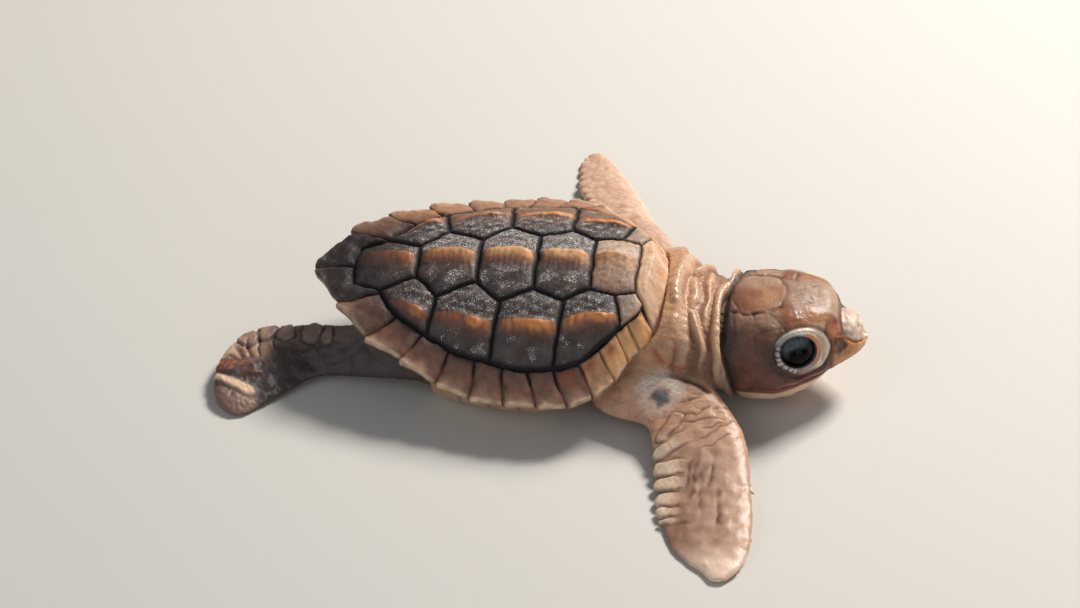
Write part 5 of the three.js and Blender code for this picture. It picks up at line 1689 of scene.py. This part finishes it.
def sculpt_right_rear(points, normals, across, along):
    flat = points[:, :2] + drifts(points[:, :2], 2.0, 343, 345) * 0.15
    top = smooth(-0.2, 0.3, normals[:, 2])
    plate, border = np.zeros(len(points)), np.zeros(len(points))
    for centre, half_x, half_y in REAR_PLATES:
        away = np.linalg.norm((flat - centre) / [half_x, half_y], axis=1)
        plate = np.maximum(plate, smooth(1.05, 0.85, away))
        border = np.maximum(border, bump(away, 1.05, 0.14))
    wrinkle = lines(flat, REAR_WRINKLES, 0.28, 0.2)
    away, far = path_distance(points[:, :2], REAR_WEDGE)
    wedge = np.exp(-((away / (0.42 + 0.35 * far)) ** 4))
    fold = line(flat, [(-36.5, -14.9), (-33.5, -16.2), (-30.4, -16.8)], 0.35, 0.1)
    web = smooth(-30.5, -28.5, flat[:, 0]) * smooth(-7.5, -9.0, flat[:, 1])
    swell = spot(flat, (-33.2, -12.3), 3.4, 1.8)
    depth = 0.25 * plate - 0.2 * border - 0.28 * wrinkle + 0.12 * wedge - 0.18 * fold + 0.35 * swell
    depth += 0.12 * drift(flat, 2.6, 347) * web + 0.04 * drift(flat, 0.9, 349)
    moved = points + normals * (depth * top)[:, None]
    moved[:, 1] += 0.9 * smooth(0.75, 1.0, across) * smooth(0.12, 0.3, along) * smooth(0.9, 0.6, along)
    marks = {"plate": plate, "border": border, "wrinkle": wrinkle, "wedge": wedge, "fold": fold}
    return moved, {"web": web, **{name: mark * top for name, mark in marks.items()}}


def right_rear_tint(points, marks):
    flat = points[:, :2]
    patch, fine = drift(flat, 2.4, 451), drift(flat, 0.8, 453)
    x, y = flat.T
    tip = smooth(-28.5, -31.0, x)
    lobe = smooth(-14.6, -15.6, y + 0.35 * (x + 36)) * smooth(-27.8, -29.6, x)
    dark = 0.7 * marks["border"] + 0.65 * marks["wrinkle"] + 0.4 * marks["fold"]
    return layered(
        plain("57494a", len(points)),
        ("3e3739", 0.5 + 0.4 * patch),
        ("b08b72", tip * smooth(-11.3, -9.8, y) * (0.9 + 0.1 * fine)),
        ("cfae93", smooth(-33, -35, x) * smooth(-11.6, -10.4, y) * 0.8),
        ("75625a", smooth(-10.0, -7.2, y) * (1 - tip) * 0.9),
        ("8f766a", 0.8 * marks["plate"] * (0.7 + 0.4 * patch)),
        ("3a2f2d", marks["web"] * 0.6),
        ("96583a", spot(flat, (-35.0, -12.1), 1.9, 1.4) * (0.7 + 0.3 * fine)),
        ("7b4a35", spot(flat, (-32.6, -11.6), 1.6, 1.0)),
        ("4f3128", 1.1 * spot(flat, (-31.6, -12.9), 2.1, 1.5)),
        ("7c6053", lobe * 0.9),
        ("a58570", line(flat, [(-30.9, -15.4), (-30.9, -17.6)], 0.5) * 0.9),
        ("e0bd9c", marks["wedge"] * smooth(-30.2, -31.2, x)),
        ("2b2122", np.clip(dark, 0, 0.85)),
    )


# Flippers seen from afar: their rows, seed, counts of scales across and along, and colours.
FAR_FLIPPERS = {
    "front left": (FRONT_LEFT, 321, (5, 15), left_front_tint),
    "rear left": (REAR_LEFT, 361, (4, 9), left_rear_tint),
}


def kept_inside_shell(points):
    """Skin under the shell stays below the scutes and above the plastron."""
    x, y, z = to_shell(points).T
    angle, reach = heading(x, y)
    rim = rim_reach(angle)
    outside = np.maximum(reach - rim, 0)
    inward = np.minimum(1, rim / np.maximum(reach, 1e-6))
    roof = shell_top(x * inward, y * inward) - 0.95 + 0.6 * smooth(1.0, 0.0, rim - reach) + 9 * outside
    beyond = np.maximum(reach - plastron_reach(angle), 0)
    floor = belly_bottom(x, y) + PLASTRON_THICK + 0.1 - 3 * beyond
    above, rear = np.maximum(z - floor, 0), smooth(-4, -9, x)
    above = above * smooth(0.6 + rear, 3 + 2.6 * rear, above)
    return from_shell(stacked(x, y, np.minimum(floor + above, np.maximum(roof, floor))))


def evened(bm, values, times):
    """The corners' values, evened out along the edges."""
    ends = np.array([[v.index for v in e.verts] for e in bm.edges])
    count = np.bincount(ends.ravel(), minlength=len(values))[:, None]
    for _ in range(times):
        total = np.zeros_like(values)
        np.add.at(total, ends[:, 0], values[ends[:, 1]])
        np.add.at(total, ends[:, 1], values[ends[:, 0]])
        values = (values + total / count) / 2
    return values


def eased_borders(skin, start, points, colours, part):
    """Where two parts of the body meet, their relief and colours run into each other."""
    bodies = np.where(belongs(part, "head"), PARTS.index("neck"), part)
    shares = evened(skin, (bodies[:, None] == np.arange(len(PARTS))).astype(float), 12)
    border = smooth(0.98, 0.6, shares.max(1))[:, None]
    blurred = evened(skin, np.hstack([points - start, colours]), 14)
    points = points * (1 - border) + (start + blurred[:, :3]) * border
    return points, colours * (1 - border) + blurred[:, 3:] * border


def trunk_tint(points):
    x, y, z = points.T
    web = smooth(24, 20, x) * smooth(10, 15, x) * smooth(-11, -13.5, y)
    # The web behind the shoulder is painted grey on its lower part as shade.
    return layered(
        plain("b98f76", len(points)),
        ("9b7560", 0.5 + 0.4 * drift(points, 3.0, 401)),
        ("5c4d4a", smooth(12, 0, x) * 0.8),
        ("d2b3a0", 0.8 * web * smooth(4.8, 6.6, z)),
        ("8e8883", 0.75 * web * smooth(6.2, 4.6, z)),
    )


def belongs(part, *names):
    return np.isin(part, [PARTS.index(name) for name in names])


def sculpted_skin(skin, points, part, place):
    """Relief, colours, wetness and graininess of the skin's corners."""
    normals = corner_normals(skin)
    across, along = 0.5 + 0.5 * np.cos(place[:, 0] * 2 * np.pi), place[:, 1]
    start = points.copy()
    h = to_head(points)
    either = belongs(part, "neck", "head")
    ahead = smooth(0.15, -0.35, neck_edge(points)[0])
    own_head, own_neck = ahead * either, (1 - ahead) * either
    points, head_marks = sculpt_head(points, normals, own_head)
    points, crest, rear, gap, from_top = sculpt_neck(points, normals, either * 1.0)
    shoulder = line(start, SHOULDER_FOLD, 0.45, 0.1)
    reddish = line(start, REDDISH_FOLD, 0.4, 0.1)
    points -= normals * (0.45 * shoulder + 0.35 * reddish)[:, None]
    behind = neck_edge(start)[0]
    shade = smooth(-1.3 - 1.3 * bump(from_top, 42, 22), -0.1, behind) * smooth(0.4, 0.0, behind) * either
    colours = layered(
        trunk_tint(start),
        (neck_tint(start, crest, rear, gap, from_top), own_neck),
        (head_tint(h, head_marks), own_head),
        ("2f1f1b", 0.8 * shade),
    )
    wet = np.full(len(points), 0.35)
    wet = wet * (1 - own_neck) + own_neck * (0.45 + 0.5 * smooth(0.3, 0.8, crest))
    wet = wet * (1 - own_head) + own_head * (0.3 + 0.35 * head_marks["brow"])
    wet = np.where(head_marks["outer"] < 1, 0.65, wet) * (1 - shade)
    grain = np.where(own_head > 0.5, 0.15, 0.3)

    own = belongs(part, "front right")
    moved, marks = sculpt_right_front(points[own], normals[own], across[own], along[own])
    root = smooth(0.0, 0.12, along[own])[:, None]
    points[own] = points[own] * (1 - root) + moved * root
    colours[own] = right_front_tint(start[own], across[own], along[own], marks)
    wet[own] = 0.32 + 0.2 * np.maximum(smooth(0.8, 0.97, across[own]), smooth(0.8, 0.95, along[own]))
    grain[own] = 0.08
    own = belongs(part, "rear right")
    points[own], marks = sculpt_right_rear(points[own], normals[own], across[own], along[own])
    colours[own] = right_rear_tint(start[own], marks)
    wet[own] = 0.2 + 0.3 * marks["wrinkle"]
    grain[own] = 0.12
    for name, (stations, seed, counts, tint) in FAR_FLIPPERS.items():
        own = belongs(part, name)
        where = across[own], along[own]
        points[own], flat, edge = sculpt_flipper(points[own], normals[own], *where, stations, seed, counts)
        colours[own] = tint(flat, *where, edge)
        wet[own] = 0.4
    points, colours = eased_borders(skin, start, points, colours, part)
    by_patch = smooth(18.5, 20, start[:, 0]) * smooth(-11.8, -12.6, start[:, 1]) * smooth(0.0, 0.3, normals[:, 2])
    colours = ring_patch(colours, start, by_patch * ~belongs(part, "front right"))
    # The dark line along the shoulder fold is a painted shadow where the flipper meets the neck; the reddish fold is
    # the skin's own colour.
    colours = layered(colours, ("3b221b", 0.85 * shoulder), ("a04a2a", 0.7 * reddish))
    colours[belongs(part, "tail")] = tone("3a3030")
    return kept_inside_shell(points), colours, wet, grain


skin_points, skin_tints, skin_wet, skin_grain = sculpted_skin(skin, skin_points, skin_part, skin_place)
set_positions(skin, skin_points)
paint(skin, skin_tints, wet=skin_wet, grain=skin_grain)
bmesh.ops.recalc_face_normals(skin, faces=skin.faces)
finished("skin", skin, SKIN, [
    "head", "jaw", "neck", "trunk", "tail", "front_flipper_right", "front_flipper_left",
    "rear_flipper_right", "rear_flipper_left",
])

# ---- Eyes, beak and claws -----------------------------------------------------------------------


def eye_finish():
    shader = Shader("eye")
    colour = shader.varied(shader.attribute("tint")["Color"], 0.12, 0.0003)
    roughness = 0.07 + 0.03 * shader.noise(0.0008)
    return shader.finish(colour, roughness, IOR=1.2)


EYE = eye_finish()
for side, sign in SIDES:
    eye = bmesh.new()
    bmesh.ops.create_uvsphere(eye, u_segments=128, v_segments=96, radius=EYE_RADIUS)
    local = positions(eye)
    across, up = local[:, 0] - 0.15, local[:, 2] + 0.42
    pupil = np.hypot(across, up)
    facing = local[:, 1] * sign > 0
    edge = np.hypot(local[:, 0], (local[:, 2] - OPENING_UP) * 1.15)
    rim = smooth(1.65, 2.3, edge) * smooth(1.9, 0.8, up - 0.6 * across)
    # The iris is painted lighter blue-grey at the top as a reflection of the sky, and darker towards the bottom.
    colours = layered(
        plain("3a3a3c", len(local)),
        ("666b75", smooth(0.9, 2.2, up - 0.3 * across) * (0.8 + 0.3 * drift(local, 0.7, 501))),
        ("2c2928", smooth(0.4, -1.2, up) * 0.8),
        ("0c0c0e", rim),
        ("020203", smooth(1.95, 1.2, pupil) * facing),
    )
    paint(eye, colours)
    local[:, 1] += sign * 0.1 * smooth(2.3, 0.5, pupil) * facing
    set_positions(eye, from_head(carried(local, eye_frame(sign))))
    finished(f"{side} eye", eye, EYE, [f"eye_{side}"])


LOWER_BEAK_SHARE = 0.95


def beak_piece(upper):
    """A sheet of horn over the front of one jaw, cut from the head's own form."""
    bm = grid(150, 240)
    place = positions(bm)
    place[:, 1] = 0.45 + 0.55 * place[:, 1]
    set_positions(bm, to_head(head_form(HEAD_STATIONS, place)))
    bmesh.ops.remove_doubles(bm, verts=bm.verts, dist=1e-4)
    if upper:
        sides = [
            ((BEAK_REAR, 0, 0), (-1, 0, 0)), ((BEAK_TOP[0], 0, BEAK_TOP[1]), (-BEAK_SLOPE, 0, 1)),
            ((14.8, 0, -0.87), (0.02, 0, -1)),
        ]
    else:
        sides = [((12.0, 0, -8), (-8.9, 0, 1.8)), ((14.8, 0, -1.0), (-0.02, 0, 1))]
    for at, way in sides:
        cut_away(bm, at, way, 1e-5)
    bmesh.ops.holes_fill(bm, edges=[e for e in bm.edges if e.is_boundary and (e.verts[0].co.x > 17.5)])
    bmesh.ops.recalc_face_normals(bm, faces=bm.faces)
    points = positions(bm)
    ways = [np.array(way) / np.linalg.norm(way) for _, way in sides]
    near = np.min([-(points - np.array(at)) @ way for (at, _), way in zip(sides, ways)], axis=0)
    near = np.maximum(near, 0)
    normals = corner_normals(bm)
    if (normals * (points - points.mean(0))).sum() < 0:
        normals = -normals
    x, _, z = points.T
    rise = 0.14 * (1 - bump(near, 0, 0.35)) - 0.25 * bump(near, 0, 0.12)
    rise += 0.02 * drift(points, 1, 511) + 0.02 * np.sin(near * 7 + drift(points, 3, 515))
    points = points + normals * rise[:, None]
    if not upper:
        points[:, 1] *= LOWER_BEAK_SHARE
    set_positions(bm, points)
    colours = layered(
        plain("c4844f", len(points)),
        ("a8683f", 0.5 + 0.4 * drift(points, 2, 513)),
        ("d09a5c", 0.7 * smooth(15.6, 17.2, x) * smooth(2, 0.5, z)),
    )
    if upper:
        away = np.linalg.norm((np.abs(points) - [14.3, 4.2, 2.3]) / [1.3, 1.5, 1.4], axis=1)
        dark = smooth(1.35, 0.6, away + 0.3 * drift(points, 1.3, 517))
        colours = layered(
            colours,
            ("3d1d12", 0.95 * dark),
            ("c98a50", 0.6 * smooth(0.5, -0.4, z)),
        )
    else:
        colours = layered(
            colours,
            ("93553c", 0.5),
            ("c9a080", smooth(-2, -4, z)),
        )
    colours = layered(colours, ("6a4030", 0.5 * smooth(0.25, 0.05, near)))
    paint(bm, colours, speckle=0, dull=0)
    bmesh.ops.solidify(bm, geom=bm.faces, thickness=BEAK_THICK)
    bmesh.ops.recalc_face_normals(bm, faces=bm.faces)
    set_positions(bm, from_head(positions(bm)))
    return bm


finished("upper beak", beak_piece(True), BEAK, ["beak_upper"])
finished("lower beak", beak_piece(False), BEAK, ["beak_lower"])


def horn_point(segments, cuts, radius, tip, length, code, bend=0):
    """A rounded cone of horn along z."""
    bm = bmesh.new()
    bmesh.ops.create_cone(bm, cap_ends=True, segments=segments, radius1=radius, radius2=tip, depth=length)
    bmesh.ops.subdivide_edges(bm, edges=bm.edges, cuts=cuts, use_grid_fill=True)
    softened(bm, 2 * (cuts - 1))
    points = positions(bm)
    points[:, 0] += bend * points[:, 2] ** 2
    set_positions(bm, points)
    paint(bm, plain(code, len(points)), speckle=0, dull=0)
    return bm


def placed(bm, turn, place):
    bmesh.ops.rotate(bm, verts=bm.verts, matrix=turn)
    bmesh.ops.translate(bm, verts=bm.verts, vec=place)
    return bm


tooth = placed(
    horn_point(32, 3, 0.75, 0.2, 1.1, "ecd3c2"), Matrix.Rotation(math.radians(78), 3, "Y"), (17.65, 0, -0.05)
)
set_positions(tooth, from_head(positions(tooth)))
finished("egg tooth", tooth, BEAK)

CLAWS = [
    (FRONT_RIGHT, "front right", 5), (FRONT_LEFT, "front left", 5), (REAR_RIGHT, "rear right", 5),
    (REAR_LEFT, "rear left", 3),
]


def claw(rows, index):
    """A small claw that stands out of a flipper's front edge at one of its rows."""
    rows = np.array(rows)
    lead, trail = rows[index, :3], rows[index, 3:6]
    across = (lead - trail) / np.linalg.norm(lead - trail)
    along = rows[index + 1, :3] - lead
    along /= np.linalg.norm(along)
    lean = Vector(across * 0.6 + along).normalized()
    turn = Vector((0, 0, 1)).rotation_difference(lean).to_matrix()
    return placed(horn_point(24, 2, 0.42, 0.08, 1.5, "cdb29a", 0.12), turn, lead - across * 0.15)


for stations, name, index in CLAWS:
    finished(f"{name} claw", claw(stations, index), BEAK)

# ---- Floor, light and camera --------------------------------------------------------------------


def floor_finish():
    shader = Shader("studio floor")
    colour = shader.varied(shader.mix(0.5, tone("c9c6c0"), tone("cecbc6")), 0.01, 0.03)
    return shader.finish(colour, 0.75)


ground = bmesh.new()
bmesh.ops.create_grid(ground, x_segments=24, y_segments=24, size=0.7)
bmesh.ops.translate(ground, verts=ground.verts, vec=(0, 0, -0.00002))
floor_mesh = bpy.data.meshes.new("studio floor")
ground.to_mesh(floor_mesh)
ground.free()
floor_mesh.shade_smooth()
floor_mesh.materials.append(floor_finish())
in_scene("studio_floor", floor_mesh)


def lamp(name, place, target, size, power, colour=(1, 1, 1)):
    light = bpy.data.lights.new(name, "AREA")
    light.shape = "RECTANGLE"
    light.size, light.size_y = size
    light.energy = power
    light.color = colour
    item = in_scene(name, light)
    item.location = place
    item.rotation_euler = (Vector(target) - Vector(place)).to_track_quat("-Z", "Y").to_euler()


lamp("key", (0.2, 0.26, 0.34), (0, 0, 0.01), (0.13, 0.13), 3.1, (1, 0.955, 0.89))
lamp("fill", (-0.34, -0.3, 0.3), (0, 0, 0.01), (0.4, 0.4), 0.5, (0.9, 0.95, 1))
lamp("front", (0.25, -0.45, 0.2), (0, 0, 0.01), (0.35, 0.35), 0.4)
world = bpy.data.worlds.new("studio")
world.use_nodes = True
sky = world.node_tree.nodes["Background"]
sky.inputs["Color"].default_value = (0.92, 0.95, 1, 1)
sky.inputs["Strength"].default_value = 0.16
bpy.context.scene.world = world
bpy.context.scene.view_settings.view_transform = "Standard"

VIEW_TURN, VIEW_TILT, VIEW_AWAY = math.radians(7.48), math.radians(39), 600.0
VIEW_RIGHT, VIEW_UP, LENS_MM = 4.56, 5.18, 151.98
right = np.array([math.cos(VIEW_TURN), math.sin(VIEW_TURN), 0])
back = np.array([right[1] * math.cos(VIEW_TILT), -right[0] * math.cos(VIEW_TILT), math.sin(VIEW_TILT)])
above = np.cross(back, right)
camera_data = bpy.data.cameras.new("camera")
camera_data.sensor_width = 36
camera_data.lens = LENS_MM
camera_data.clip_end = 5
camera = in_scene("camera", camera_data)
stand = (VIEW_AWAY * back + VIEW_RIGHT * right + VIEW_UP * above + SHIFT) * MM
camera.matrix_world = Matrix.Translation(stand) @ Matrix(stacked(right, above, back)).to_4x4()
bpy.context.scene.camera = camera
